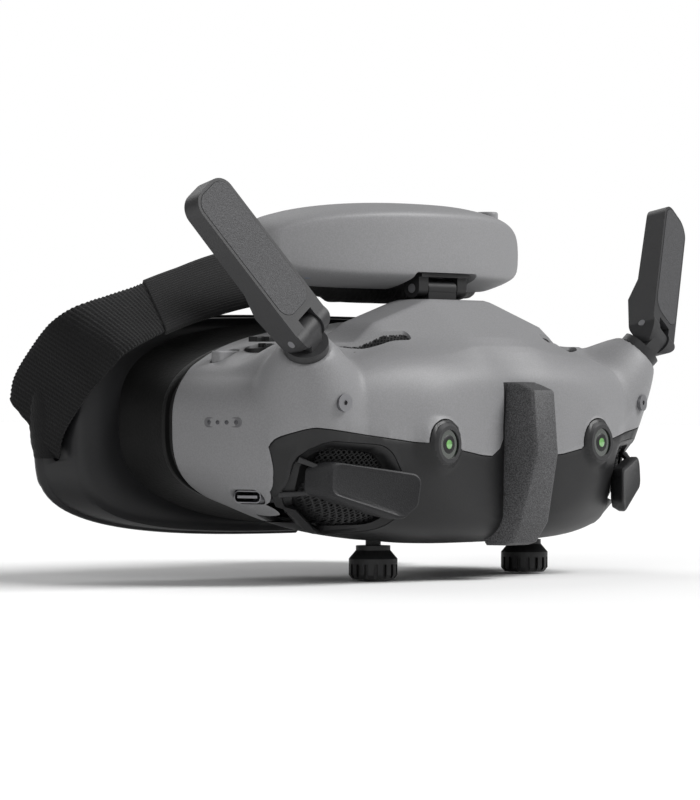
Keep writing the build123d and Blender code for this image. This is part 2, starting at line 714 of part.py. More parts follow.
# identical screws that hold the chassis plate and the eyepiece cover
with BuildPart() as chassis_screws:
    for x, z in SCREW_SPOTS:
        with Locations(Location((x, 24, z), (90, 0, 0))):
            Cylinder(SCREW_R, 9.0, align=(Align.CENTER, Align.CENTER, Align.MIN))
            Cylinder(1.8, 1.0, align=(Align.CENTER, Align.CENTER, Align.MAX))
save_node(chassis_screws, "chassis_screws")

# ---------------------------------------------------------------- light seal and face frame
FRAME_FRONT = (38.0, 55.8)      # depth of the frame's front face at the centre and at the band's end
FRAME_REAR = (42.0, 72.8)       # depth of its rear face
BAND_END = 90.0                 # half width at which the band ends are given
CARRIER = 1.5
FRAME_MIDDLE = (FACE_TOP + FACE_BOTTOM) / 2
FRAME_HEIGHT = FACE_TOP - FACE_BOTTOM
OPENING_HALF = 70.0
OPENING_HEIGHT = 40.0
NOSE_Z = -2.0                   # centre of the arch over the nose
NOSE_R = 14.0


def face_band(front_shift, rear_shift, front=FRAME_FRONT, rear=FRAME_REAR):
    """Curved band, seen from above, that follows the face between two depths."""
    return plan_band(
        front[0] + front_shift, front[1] + front_shift, rear[0] + rear_shift, rear[1] + rear_shift,
        BAND_END, -20, 80,
    )


def face_ring(half_width, height, corner):
    """Ring seen from the front: outer outline, eye opening, and an arch over the nose."""
    with BuildPart() as ring:
        with BuildSketch(Plane.XZ.offset(-30)):
            with Locations((0, FRAME_MIDDLE)):
                RectangleRounded(2 * half_width, height, corner)
            with Locations((0, NOSE_Z)):
                Circle(NOSE_R, mode=Mode.SUBTRACT)
            add(eye_opening(), mode=Mode.SUBTRACT)
        extrude(amount=-60)
    return ring.part


def eye_opening():
    """Opening for the eyes, clear of the arch over the nose."""
    with BuildSketch() as opening:
        with Locations((0, FRAME_MIDDLE)):
            RectangleRounded(2 * OPENING_HALF, OPENING_HEIGHT, 14)
        with Locations((0, NOSE_Z)):
            Circle(NOSE_R + 4, mode=Mode.SUBTRACT)
    return opening.sketch


with BuildPart() as gasket_ring:
    extrude(front_outline(GASKET_REAR, 2.5), amount=GASKET_REAR - CASING_REAR)
    extrude(front_outline(GASKET_REAR, 6.0), amount=GASKET_REAR - CASING_REAR, mode=Mode.SUBTRACT)
    with BuildSketch(Plane.XY.offset(-5)):
        Rectangle(200, 200)
    extrude(amount=5 + 7.5, mode=Mode.SUBTRACT)
    with Locations((0, (CASING_REAR + GASKET_REAR) / 2, 8.5)):
        Box(125, GASKET_REAR - CASING_REAR, 2.6)
save_node(gasket_ring, "gasket_ring")

with BuildPart() as light_shroud:
    for inset, mode in ((0, Mode.ADD), (2, Mode.SUBTRACT)):
        with BuildSketch(Plane.XZ.offset(-GASKET_REAR)):
            with Locations((0, 31.5)):
                RectangleRounded(153 - 2 * inset, 48 - 2 * inset, 22 - inset)
        with BuildSketch(Plane.XZ.offset(-56)):
            with Locations((0, 31)):
                RectangleRounded(151 - 2 * inset, 57 - 2 * inset, 22 - inset)
        loft(mode=mode)
    add(face_band(0, 40), mode=Mode.SUBTRACT)
save_node(light_shroud, "light_shroud")

with BuildPart() as face_frame:
    add(face_ring(FACE_HALF_WIDTH, FRAME_HEIGHT, 20))
    add(face_band(0, 0), mode=Mode.INTERSECT)
    with BuildPart(mode=Mode.PRIVATE) as channel:
        with BuildSketch(Plane.XZ.offset(-30)):
            with Locations((0, FRAME_MIDDLE)):
                RectangleRounded(2 * FACE_HALF_WIDTH - 6, FRAME_HEIGHT - 6, 17)
                RectangleRounded(2 * OPENING_HALF + 5, OPENING_HEIGHT + 5, 16.5, mode=Mode.SUBTRACT)
            with Locations((0, NOSE_Z)):
                Circle(NOSE_R + 7, mode=Mode.SUBTRACT)
        extrude(amount=-60)
        add(face_band(3, 2), mode=Mode.INTERSECT)
    add(channel.part, mode=Mode.SUBTRACT)
    # temple slots for the strap
    for side in SIDES.values():
        with Locations((side * FACE_HALF_WIDTH, 64, STRAP_Z)):
            Box(8, 3, STRAP_WIDTH + 2, mode=Mode.SUBTRACT)
save_node(face_frame, "face_frame")

with BuildPart() as cushion_carrier:
    add(face_ring(FACE_HALF_WIDTH - 0.5, FRAME_HEIGHT - 1, 19.5))
    add(face_band(0, CARRIER, front=FRAME_REAR), mode=Mode.INTERSECT)
save_node(cushion_carrier, "cushion_carrier")

with BuildPart() as face_cushion:
    add(face_ring(FACE_HALF_WIDTH - 1, FRAME_HEIGHT - 2, 19))
    add(face_band(CARRIER, CARRIER + FOAM_DEPTH, front=FRAME_REAR), mode=Mode.INTERSECT)
save_node(face_cushion, "face_cushion")

# ---------------------------------------------------------------- head strap
LEAN = radians(STRAP_LEAN)
STRAP_PLANE = Plane(
    origin=(0, STRAP_Y, STRAP_Z), x_dir=(1, 0, 0), z_dir=(0, -cos(LEAN), -sin(LEAN)),
)
STRAP_LEG = 14.0            # straight part at each temple
STRAP_REACH = 60.0          # from the temples to the crown
STRAP_THICK = 2.0
ELASTIC_HALF = 58.0         # the elastic middle ends here


def strap_loop(width, thickness, reach):
    """Arch of webbing from temple to temple."""
    with BuildPart() as loop:
        with BuildSketch(STRAP_PLANE.offset(-width / 2)):
            for grow, mode in ((thickness, Mode.ADD), (0, Mode.SUBTRACT)):
                with Locations((0, STRAP_LEG)):
                    Ellipse(STRAP_X + grow, reach - STRAP_LEG - thickness + grow, mode=mode)
                with Locations((0, STRAP_LEG / 2)):
                    Rectangle(2 * (STRAP_X + grow), STRAP_LEG, mode=mode)
            with Locations((0, -50)):
                Rectangle(200, 100, mode=Mode.SUBTRACT)
        extrude(amount=width)
    return loop.part


with BuildPart() as head_strap:
    add(strap_loop(STRAP_WIDTH, STRAP_THICK, STRAP_REACH))
    with Locations((0, 40, 80)):
        Box(2 * ELASTIC_HALF, 100, 100, mode=Mode.SUBTRACT)
save_node(head_strap, "head_strap")

with BuildPart() as elastic_band:
    add(strap_loop(STRAP_WIDTH + 1, STRAP_THICK, STRAP_REACH))
    with Locations((0, 40, 80)):
        Box(2 * ELASTIC_HALF, 100, 100, mode=Mode.INTERSECT)
save_node(elastic_band, "elastic_band")

# ---------------------------------------------------------------- forehead unit
PAD_BOTTOM = 67.2
NOTCH_HALF = 12.9
NOTCH_TOP = 71.4
POWER_X = 30.0


def pad_outline(inset):
    """The forehead unit seen from the front: an arched top and slanted ends."""
    with BuildPart() as outline:
        with BuildSketch(Plane.XZ.offset(20)):
            with BuildLine():
                ThreePointArc((-44, 85), (0, 90.5), (44, 85))
                ThreePointArc((44, 85), (54, 81), (53.5, 75))
                Line((53.5, 75), (48, PAD_BOTTOM))
                Line((48, PAD_BOTTOM), (-48, PAD_BOTTOM))
                Line((-48, PAD_BOTTOM), (-53.5, 75))
                ThreePointArc((-53.5, 75), (-54, 81), (-44, 85))
            make_face()
            offset(amount=-inset, mode=Mode.REPLACE)
        extrude(amount=-70)
    return outline.part


with BuildPart() as battery_housing:
    add(plan_band(0, 19, 12, 28, 56, 60, 95))
    add(pad_outline(0), mode=Mode.INTERSECT)
    with BuildPart(mode=Mode.PRIVATE) as cavity:
        add(plan_band(2, 21, 13, 29, 56, 60, 95))
        add(pad_outline(2), mode=Mode.INTERSECT)
        with Locations((0, 5, NOTCH_TOP)):
            Box(2 * NOTCH_HALF + 3, 30, 3, mode=Mode.SUBTRACT)
            Box(2 * NOTCH_HALF + 3, 30, 12, align=(Align.CENTER, Align.CENTER, Align.MAX),
                mode=Mode.SUBTRACT)
    add(cavity.part, mode=Mode.SUBTRACT)
    with Locations((0, 5, NOTCH_TOP)):
        Box(2 * NOTCH_HALF, 40, 20, align=(Align.CENTER, Align.CENTER, Align.MAX), mode=Mode.SUBTRACT)
    with Locations((POWER_X, 10.5, 88)):
        Cylinder(3.2, 10, mode=Mode.SUBTRACT)
save_node(battery_housing, "battery_housing")

with BuildPart() as battery_rear_cover:
    add(plan_band(12, 28, 14, 30, 56, 60, 95))
    add(pad_outline(0), mode=Mode.INTERSECT)
    with Locations((0, 15, NOTCH_TOP)):
        Box(2 * NOTCH_HALF, 10, 20, align=(Align.CENTER, Align.CENTER, Align.MAX), mode=Mode.SUBTRACT)
save_node(battery_rear_cover, "battery_rear_cover")

with BuildPart() as battery_cells:
    for side in SIDES.values():
        with Locations(Location((side * 31, 13.4, 76), (0, 0, side * 19))):
            Box(24, 5, 13)
    fillet(battery_cells.edges().filter_by(Axis.Z), radius=1.5)
save_node(battery_cells, "battery_cells")

with BuildPart() as power_button:
    with Locations((POWER_X, 10.5, 84)):
        Cylinder(3.0, 5.2, align=(Align.CENTER, Align.CENTER, Align.MIN))
    fillet(power_button.faces().sort_by(Axis.Z)[-1].edges(), radius=0.6)
save_node(power_button, "power_button")

with BuildPart() as forehead_cushion:
    add(plan_band(14, 30, 21, 36, 56, 60, 95))
    with BuildSketch(Plane.XZ):
        with Locations((0, 74)):
            RectangleRounded(100, 26, 10)
    extrude(amount=-60, mode=Mode.INTERSECT)
save_node(forehead_cushion, "forehead_cushion")

KNUCKLE_R = 2.5
CENTRE_KNUCKLE = 6.0
OUTER_KNUCKLE = 10.4

with BuildPart() as hinge_bracket:
    with Locations((0, HINGE_Y, RIDGE_TOP)):
        Box(20.8, 6.8, 2.3, align=(Align.CENTER, Align.CENTER, Align.MAX))
    with Locations((0, HINGE_Y, RIDGE_TOP)):
        Box(2 * CENTRE_KNUCKLE, 4.6, HINGE_Z - RIDGE_TOP, align=(Align.CENTER, Align.CENTER, Align.MIN))
    with Locations(Location((0, HINGE_Y, HINGE_Z), (0, 90, 0))):
        Cylinder(KNUCKLE_R, 2 * CENTRE_KNUCKLE)
        Cylinder(HINGE_PIN_R, 2 * CENTRE_KNUCKLE, mode=Mode.SUBTRACT)
save_node(hinge_bracket, "hinge_bracket")

with BuildPart() as hinge_pin:
    with Locations(Location((0, HINGE_Y, HINGE_Z), (0, 90, 0))):
        Cylinder(HINGE_PIN_R, 2 * OUTER_KNUCKLE)
save_node(hinge_pin, "hinge_pin")

with BuildPart() as pad_arm:
    for side in SIDES.values():
        middle = side * (CENTRE_KNUCKLE + GAP + OUTER_KNUCKLE) / 2
        width = OUTER_KNUCKLE - CENTRE_KNUCKLE - GAP
        with Locations((middle, HINGE_Y, HINGE_Z)):
            Box(width, 2 * KNUCKLE_R, NOTCH_TOP - HINGE_Z, align=(Align.CENTER, Align.CENTER, Align.MIN))
        with Locations(Location((middle, HINGE_Y, HINGE_Z), (0, 90, 0))):
            Cylinder(KNUCKLE_R, width)
            Cylinder(HINGE_PIN_R + RUN, width, mode=Mode.SUBTRACT)
    with Locations((0, HINGE_Y, NOTCH_TOP)):
        Box(2 * OUTER_KNUCKLE, 7, 1.0, align=(Align.CENTER, Align.CENTER, Align.MAX))
save_node(pad_arm, "pad_arm")
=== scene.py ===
"""Looks of the FPV goggles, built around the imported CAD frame."""
import json
import math

import bmesh
import bpy
import numpy as np
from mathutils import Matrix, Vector
from mathutils.bvhtree import BVHTree


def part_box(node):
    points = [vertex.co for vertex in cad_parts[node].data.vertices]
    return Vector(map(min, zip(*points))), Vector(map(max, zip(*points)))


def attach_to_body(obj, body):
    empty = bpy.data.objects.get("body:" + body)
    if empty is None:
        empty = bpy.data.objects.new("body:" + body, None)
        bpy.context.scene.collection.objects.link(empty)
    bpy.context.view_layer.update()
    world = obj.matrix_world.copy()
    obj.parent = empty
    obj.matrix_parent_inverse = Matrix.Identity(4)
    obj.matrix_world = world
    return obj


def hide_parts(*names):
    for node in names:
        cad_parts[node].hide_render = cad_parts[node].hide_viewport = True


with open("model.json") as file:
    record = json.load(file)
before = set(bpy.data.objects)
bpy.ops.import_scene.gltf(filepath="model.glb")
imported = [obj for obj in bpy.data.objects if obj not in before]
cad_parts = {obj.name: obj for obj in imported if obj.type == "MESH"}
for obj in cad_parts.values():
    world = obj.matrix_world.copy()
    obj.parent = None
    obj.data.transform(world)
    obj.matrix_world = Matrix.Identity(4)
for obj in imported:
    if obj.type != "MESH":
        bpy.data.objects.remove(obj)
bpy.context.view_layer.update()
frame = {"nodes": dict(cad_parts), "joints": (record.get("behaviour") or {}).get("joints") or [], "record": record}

MM = 0.001
NODES = frame["nodes"]
SIDES = {"l": 1, "r": -1}
ALONG_X, ALONG_Y, ALONG_Z = range(3)
MOUNTS = {m["name"]: m for m in frame["record"]["mounts"]}
JOINTS = {j["name"]: j for j in frame["joints"]}


def node_box(name):
    """Lowest and highest corner of a CAD node, in millimetres."""
    low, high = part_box(name)
    return np.array(low) / MM, np.array(high) / MM


def middle_of(name):
    """Middle of a CAD node's box, in millimetres."""
    low, high = node_box(name)
    return (low + high) / 2


def half_size_of(name):
    """Half the size of a CAD node's box, in millimetres."""
    low, high = node_box(name)
    return (high - low) / 2


# ------------------------------------------------------------------ material helpers
def new_material(name):
    material = bpy.data.materials.new(name)
    material.use_nodes = True
    tree = material.node_tree
    shader = tree.nodes["Principled BSDF"]
    return material, tree, shader


def add_node(tree, kind, **values):
    """New shader node; values that start with in_ set its inputs and the others its settings."""
    node = tree.nodes.new(kind)
    for key, value in values.items():
        if key.startswith("in_"):
            name = key[3:].replace("_", " ")
            node.inputs[name].default_value = value
        else:
            setattr(node, key, value)
    return node


def ramp(tree, source, low, high, color_low, color_high):
    """Colour ramp between two colours over a stretch of a factor."""
    node = tree.nodes.new("ShaderNodeValToRGB")
    node.color_ramp.elements[0].position = low
    node.color_ramp.elements[1].position = high
    node.color_ramp.elements[0].color = (*color_low, 1)
    node.color_ramp.elements[1].color = (*color_high, 1)
    tree.links.new(source, node.inputs["Fac"])
    return node


def place_textures(tree, *textures):
    """Fix textures to the object's own coordinates."""
    place = add_node(tree, "ShaderNodeTexCoord")
    for texture in textures:
        tree.links.new(place.outputs["Object"], texture.inputs["Vector"])


def add_relief(tree, shader, height, strength, distance):
    relief = add_node(tree, "ShaderNodeBump", in_Strength=strength, in_Distance=distance)
    tree.links.new(height, relief.inputs["Height"])
    tree.links.new(relief.outputs["Normal"], shader.inputs["Normal"])


def vary_gloss(tree, shader, source, low, high):
    gloss = add_node(tree, "ShaderNodeMapRange", in_To_Min=low, in_To_Max=high)
    tree.links.new(source, gloss.inputs["Value"])
    tree.links.new(gloss.outputs["Result"], shader.inputs["Roughness"])


def plastic(name, color, roughness=0.5, grain=1800.0, bump=0.12, speckle=0.0, edge_highlight=0.25, coat=0.0):
    """Moulded plastic: fine grain in colour and bump, uneven gloss, and sharp edges painted lighter as a
    highlight.
    """
    material, tree, shader = new_material(name)
    fine = add_node(tree, "ShaderNodeTexNoise", in_Scale=grain, in_Detail=3.0, in_Roughness=0.6)
    broad = add_node(tree, "ShaderNodeTexNoise", in_Scale=35.0, in_Detail=4.0)
    place_textures(tree, fine, broad)
    dark = [c * (1 - speckle) for c in color]
    light = [min(1, c * (1 + speckle * 1.6)) for c in color]
    base = ramp(tree, fine.outputs["Fac"], 0.40, 0.62, dark, light)
    # painted highlight: the colour lightens along sharp edges, as if light caught them
    geometry = add_node(tree, "ShaderNodeNewGeometry")
    edge = ramp(tree, geometry.outputs["Pointiness"], 0.51, 0.60, (0, 0, 0), (1, 1, 1))
    edge_lit = add_node(tree, "ShaderNodeMix", data_type="RGBA")
    amount = add_node(tree, "ShaderNodeMath", operation="MULTIPLY")
    amount.inputs[1].default_value = edge_highlight
    tree.links.new(edge.outputs["Color"], amount.inputs[0])
    tree.links.new(amount.outputs[0], edge_lit.inputs[0])
    tree.links.new(base.outputs["Color"], edge_lit.inputs[6])
    edge_lit.inputs[7].default_value = (*[min(1, c * 1.7 + 0.01) for c in color], 1)
    tree.links.new(edge_lit.outputs[2], shader.inputs["Base Color"])
    vary_gloss(tree, shader, broad.outputs["Fac"], roughness - 0.06, roughness + 0.06)
    add_relief(tree, shader, fine.outputs["Fac"], bump, 0.0002)
    shader.inputs["Coat Weight"].default_value = coat
    shader.inputs["Specular IOR Level"].default_value = 0.35
    return material


def grained(name, color, scale=700.0, roughness=0.6, depth=0.5, sheen=0.1):
    """Soft skin such as leather, foam cloth or rubber: cells with creases between them."""
    material, tree, shader = new_material(name)
    cells = add_node(tree, "ShaderNodeTexVoronoi", in_Scale=scale, feature="SMOOTH_F1")
    tone = add_node(tree, "ShaderNodeTexNoise", in_Scale=60.0, in_Detail=5.0)
    place_textures(tree, cells, tone)
    dark = [c * 0.8 for c in color]
    light = [min(1, c * 1.2) for c in color]
    shade = ramp(tree, tone.outputs["Fac"], 0.3, 0.7, dark, light)
    tree.links.new(shade.outputs["Color"], shader.inputs["Base Color"])
    add_relief(tree, shader, cells.outputs["Distance"], depth, 0.0003)
    shader.inputs["Roughness"].default_value = roughness
    shader.inputs["Sheen Weight"].default_value = sheen
    shader.inputs["Specular IOR Level"].default_value = 0.22
    return material


def metal(name, color, roughness=0.3):
    """Turned metal with fine marks."""
    material = plastic(name, color, roughness, grain=900.0, bump=0.05, edge_highlight=0.4)
    material.node_tree.nodes["Principled BSDF"].inputs["Metallic"].default_value = 1.0
    return material


def coated_glass(name, tint, rim):
    """Coated lens: dark at the rim, with the coating's colour towards its middle."""
    material, tree, shader = new_material(name)
    facing = add_node(tree, "ShaderNodeLayerWeight", in_Blend=0.35)
    shade = ramp(tree, facing.outputs["Facing"], 0.05, 0.7, tint, rim)
    tree.links.new(shade.outputs["Color"], shader.inputs["Base Color"])
    dust = add_node(tree, "ShaderNodeTexNoise", in_Scale=120.0)
    vary_gloss(tree, shader, dust.outputs["Fac"], 0.03, 0.12)
    shader.inputs["Coat Weight"].default_value = 1.0
    return material


SHELL = plastic("shell_grey", (0.200, 0.200, 0.205), 0.52, grain=2600, bump=0.10, speckle=0.05, edge_highlight=0.1)
PAD = plastic("pad_grey", (0.225, 0.225, 0.23), 0.50, grain=2600, bump=0.10, speckle=0.05, edge_highlight=0.1)
PANEL = plastic("panel_dark", (0.009, 0.009, 0.0095), 0.45, grain=2600, bump=0.12, speckle=0.08)
STRUT = plastic("strut_speckle", (0.050, 0.050, 0.052), 0.55, grain=3200, bump=0.5, speckle=0.55)
BLADE_FACE = plastic("blade_speckle", (0.036, 0.036, 0.038), 0.55, grain=3200, bump=0.5, speckle=0.5)
BLADE = plastic("blade_satin", (0.022, 0.022, 0.023), 0.48, grain=2400, bump=0.15, speckle=0.08)
FIN = plastic("fin_texture", (0.009, 0.009, 0.010), 0.5, grain=3200, bump=0.4, speckle=0.3)
BLACK = plastic("black_plastic", (0.006, 0.006, 0.0065), 0.45, grain=2000, bump=0.15, speckle=0.1)
FRAME = plastic("frame_plastic", (0.012, 0.012, 0.013), 0.36, grain=2200, bump=0.08, speckle=0.05)
KNOB = plastic("knob_plastic", (0.012, 0.012, 0.0125), 0.45, grain=2400, bump=0.2, speckle=0.1, edge_highlight=0.5)
RUBBER = grained("shroud_rubber", (0.0025, 0.0025, 0.0025), 1500, 0.55, 0.15)
LEATHER = grained("pad_leather", (0.006, 0.006, 0.006), 900, 0.6, 0.6)
FOAM = grained("foam_knit", (0.115, 0.115, 0.12), 1300, 0.9, 0.8, sheen=0.5)
WEBBING = grained("ribbed_webbing", (0.007, 0.007, 0.0074), 2600, 0.8, 0.5, sheen=0.08)
ELASTIC = grained("elastic_weave", (0.006, 0.006, 0.0064), 3200, 0.8, 0.4, sheen=0.08)
STEEL = metal("turned_steel", (0.22, 0.22, 0.23), 0.35)
GLASS = coated_glass("camera_coating", (0.006, 0.016, 0.006), (0.003, 0.006, 0.003))
IRIS = coated_glass("camera_iris", (0.22, 0.50, 0.16), (0.02, 0.10, 0.02))
LENS = coated_glass("eyepiece_coating", (0.02, 0.03, 0.06), (0.004, 0.004, 0.012))
SCREEN = coated_glass("display_face", (0.01, 0.01, 0.02), (0.002, 0.002, 0.004))
BOARD = plastic("circuit_board", (0.01, 0.06, 0.03), 0.4, grain=500, speckle=0.4)
ALUMINIUM = metal("heat_sink_metal", (0.6, 0.6, 0.62), 0.4)
STATUS = plastic("status_film", (0.11, 0.11, 0.115), 0.4, grain=2000, bump=0.05)
GLASS_DOT = plastic("lamp_glass", (0.05, 0.05, 0.055), 0.15, grain=800, bump=0.02)
CELL = plastic("cell_film", (0.05, 0.12, 0.25), 0.25, grain=300, coat=0.5)

# material of each CAD node; every other node is black plastic
NODE_MATERIALS = (
    (SHELL, "front_shell back_button link_button status_lens"),
    (PAD, "battery_housing power_button"),
    (PANEL, "front_panel"),
    (STRUT, "center_strut"),
    (FIN, "vent_fin_l vent_fin_r"),
    (BLADE, "antenna_blade_l antenna_blade_r antenna_turret_l antenna_turret_r"),
    (BLADE, "camera_module_l camera_module_r"),
    (BLADE_FACE, "antenna_cover_l antenna_cover_r"),
    (RUBBER, "light_shroud"),
    (FRAME, "face_frame"),
    (FOAM, "face_cushion"),
    (LEATHER, "forehead_cushion"),
    (WEBBING, "head_strap"),
    (ELASTIC, "elastic_band"),
    (KNOB, "adjusting_knob_l adjusting_knob_r"),
    (LENS, "eyepiece_lens_l eyepiece_lens_r"),
    (GLASS, "camera_glasses"),
    (SCREEN, "display_l display_r"),
    (STEEL, "hinge_pin antenna_pin_l antenna_pin_r guide_rails chassis_screws accessory_posts usb_port"),
    (BOARD, "main_board"),
    (ALUMINIUM, "heat_sink"),
    (CELL, "battery_cells"),
)
for node_object in NODES.values():
    node_object.data.materials.clear()
    node_object.data.materials.append(BLACK)
for node_material, node_names in NODE_MATERIALS:
    for node_name in node_names.split():
        NODES[node_name].data.materials[0] = node_material


# ------------------------------------------------------------------ mesh helpers
def make_object(name, points, faces, material, smooth_angle=35.0):
    """Mesh object from points in millimetres; edges sharper than smooth_angle stay crisp."""
    mesh = bpy.data.meshes.new(name)
    mesh.from_pydata([tuple(float(c) * MM for c in p) for p in points], [], faces)
    mesh.validate()
    tidy = bmesh.new()
    tidy.from_mesh(mesh)
    bmesh.ops.recalc_face_normals(tidy, faces=tidy.faces)
    tidy.to_mesh(mesh)
    tidy.free()
    piece = bpy.data.objects.new(name, mesh)
    bpy.context.scene.collection.objects.link(piece)
    mesh.materials.append(material)
    shade(piece, smooth_angle)
    return piece


def attach(piece, slot=None, node=None, body="visor"):
    """Tie a finished piece to its body and hide the CAD node that it stands in for; the slot is not used."""
    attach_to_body(piece, body)
    if node is not None:
        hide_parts(node)


def shade(piece, smooth_angle):
    """Smooth shading, broken at edges sharper than smooth_angle."""
    piece.data.shade_smooth()
    piece.data.set_sharp_from_angle(angle=math.radians(smooth_angle))


def grid_faces(rows, columns, closed_rows=False, start=0):
    """Quads between rings of points stored ring by ring."""
    faces = []
    for i in range(rows if closed_rows else rows - 1):
        here = start + i * columns
        there = start + (i + 1) % rows * columns
        for j in range(columns):
            n = (j + 1) % columns
            faces.append((here + j, here + n, there + n, there + j))
    return faces


def strip_cap(start, count):
    """Upright strips that close a ring whose points mirror each other across its middle height."""
    faces = [(start, start + 1, start + count - 1)]
    for j in range(1, count // 2 - 1):
        faces.append((start + j, start + j + 1, start + count - j - 1, start + count - j))
    half = start + count // 2
    faces.append((half - 1, half, half + 1))
    return faces


def flat_cap(start, count):
    """One face that closes a ring of points."""
    return [tuple(range(start, start + count))]


def loft(name, rings, material, smooth_angle=35.0, cap=flat_cap):
    """Closed solid through rings of points, with a cap on the first and on the last ring."""
    count = len(rings[0])
    points = [point for ring in rings for point in ring]
    faces = grid_faces(len(rings), count) + cap(0, count) + cap(len(points) - count, count)
    return make_object(name, points, faces, material, smooth_angle)


def closed_loft(name, rings, material, smooth_angle=35.0):
    """Ring-shaped solid: every ring joins the next and the last joins the first."""
    count = len(rings[0])
    points = [point for ring in rings for point in ring]
    return make_object(name, points, grid_faces(len(rings), count, closed_rows=True), material, smooth_angle)


def circle(a, b, radius, steps):
    """Pairs round a circle."""
    angles = [2 * math.pi * k / steps for k in range(steps)]
    return [(a + radius * math.cos(angle), b + radius * math.sin(angle)) for angle in angles]


def super_point(angle, half_width, up, down, upper, lower):
    """Point of a rounded outline given by half width, heights above and below, and two powers."""
    c, s = math.cos(angle), math.sin(angle)
    power = upper if s >= 0 else lower
    height = up if s >= 0 else down
    x = half_width * math.copysign(abs(c) ** (2 / power), c)
    return x, height * math.copysign(abs(s) ** (2 / power), s)


def curve_through(keys, count):
    """Smooth curve through key rows (Catmull-Rom), sampled evenly between keys."""
    keys = np.array(keys, float)
    padded = np.vstack([2 * keys[0] - keys[1], keys, 2 * keys[-1] - keys[-2]])
    out = []
    for t in np.linspace(0, len(keys) - 1 - 1e-9, count):
        i = int(t)
        f = t - i
        p0, p1, p2, p3 = padded[i:i + 4]
        out.append(0.5 * (2 * p1 + (p2 - p0) * f + (2 * p0 - 5 * p1 + 4 * p2 - p3) * f ** 2
                          + (3 * p1 - p0 - 3 * p2 + p3) * f ** 3))
    return np.array(out)


def apply_modifiers(piece):
    """Bake a piece's modifiers into its mesh."""
    graph = bpy.context.evaluated_depsgraph_get()
    baked = bpy.data.meshes.new_from_object(piece.evaluated_get(graph))
    old = piece.data
    piece.modifiers.clear()
    piece.data = baked
    bpy.data.meshes.remove(old)


def boolean(piece, cutter, operation):
    """Cut or intersect a piece with another closed piece, which is then removed."""
    step = piece.modifiers.new("cut", "BOOLEAN")
    step.object = cutter
    step.operation = operation
    step.solver = "EXACT"
    apply_modifiers(piece)
    bpy.data.objects.remove(cutter)


def bevel(piece, width, segments=2, angle=35.0, smooth_angle=35.0):
    """Round a piece's crisp edges."""
    step = piece.modifiers.new("bevel", "BEVEL")
    step.width = width * MM
    step.segments = segments
    step.limit_method = "ANGLE"
    step.angle_limit = math.radians(angle)
    apply_modifiers(piece)
    shade(piece, smooth_angle)


def prism(outline, low, high, axis):
    """Closed prism of an outline (pairs) between two levels along an axis."""
    count = len(outline)
    points = []
    for level in (low, high):
        for a, b in outline:
            points.append({ALONG_X: (level, a, b), ALONG_Y: (a, level, b), ALONG_Z: (a, b, level)}[axis])
    faces = [tuple(range(count)), tuple(range(2 * count - 1, count - 1, -1))]
    faces += [(i, (i + 1) % count, count + (i + 1) % count, count + i) for i in range(count)]
    return make_object("cutter", points, faces, BLACK)


def cut(piece, outline, low, high, axis, operation="DIFFERENCE"):
    """Cut a prism out of a piece, or keep only what lies inside the prism."""
    boolean(piece, prism(outline, low, high, axis), operation)


def rounded_outline(corners, radius, steps=8):
    """Polygon with every corner rounded; corners are pairs, in order."""
    out = []
    count = len(corners)
    for i in range(count):
        before, here, after = (Vector(corners[(i + k) % count]) for k in (-1, 0, 1))
        into = (before - here).normalized()
        away = (after - here).normalized()
        half = into.angle(away) / 2
        reach = min(radius / math.tan(half), 0.45 * min((before - here).length, (after - here).length))
        r = reach * math.tan(half)
        centre = here + (into + away).normalized() * (r / math.sin(half))
        start = here + into * reach - centre
        end = here + away * reach - centre
        for k in range(steps + 1):
            f = k / steps
            spoke = start.lerp(end, f).normalized() * r
            out.append(tuple(centre + spoke))
    return out


def rounded_rectangle(cx, cz, half_width, half_height, radius, steps=8):
    """Outline of a rectangle with rounded corners, given by its middle and half sizes."""
    corners = [(cx - half_width, cz - half_height), (cx + half_width, cz - half_height),
               (cx + half_width, cz + half_height), (cx - half_width, cz + half_height)]
    return rounded_outline(corners, radius, steps)


def soft_max(a, b, blend):
    """Larger of two values with a rounded changeover."""
    h = np.clip(0.5 + 0.5 * (a - b) / blend, 0, 1)
    return b * (1 - h) + a * h + blend * h * (1 - h)


# ------------------------------------------------------------------ casing
SECTION_MID = 32.0      # height that the casing's sections are measured from
WALL = 1.4
SEAM = 0.14             # half the gap between two mouldings
PANEL_REAR = 12.0
COVER_FRONT = -2.0
COVER_TOP = 6.6
CUT_FRONT, CUT_REAR, CUT_BELOW, CUT_SIDE = -60, 60, -20, 100    # cutters reach past the casing
ROOF_LOW, ROOF_HIGH = 44, 60                                    # heights between which the roof is pierced
# depth, half width, top, bottom, upper and lower power of the casing's sections, front to rear
CASING_KEYS = [
    (-24.0, 6.0, 30.0, 18.0, 2.2, 2.2),
    (-24.2, 24.0, 38.0, 9.0, 2.8, 2.8),
    (-23.6, 35.0, 43.5, 5.5, 3.2, 3.2),
    (-21.0, 44.5, 47.5, 2.6, 3.2, 3.4),
    (-17.0, 56.0, 50.5, 1.0, 3.0, 3.4),
    (-12.0, 65.5, 52.3, 0.3, 2.8, 3.4),
    (-6.0, 72.0, 53.3, 0.0, 2.6, 3.3),
    (2.0, 76.8, 54.3, 0.3, 2.5, 3.2),
    (14.0, 79.6, 56.0, 2.0, 2.5, 3.2),
    (29.0, 79.2, 57.6, 7.0, 2.5, 3.2),
]
ROUND_STEPS = 200
DEEP_STEPS = 110
TURRET = JOINTS["antenna_swivel_l"]
TURRET_BASE = np.array(TURRET["pos_m"]) / MM
TURRET_AXIS = np.array(TURRET["axis"])
RIDGE_TOP = node_box("hinge_bracket")[0][2] + 2.3
CAMERA_X, _, CAMERA_Z = middle_of("camera_module_l")
CAMERA_FRONT = node_box("camera_module_l")[0][1] + 0.45


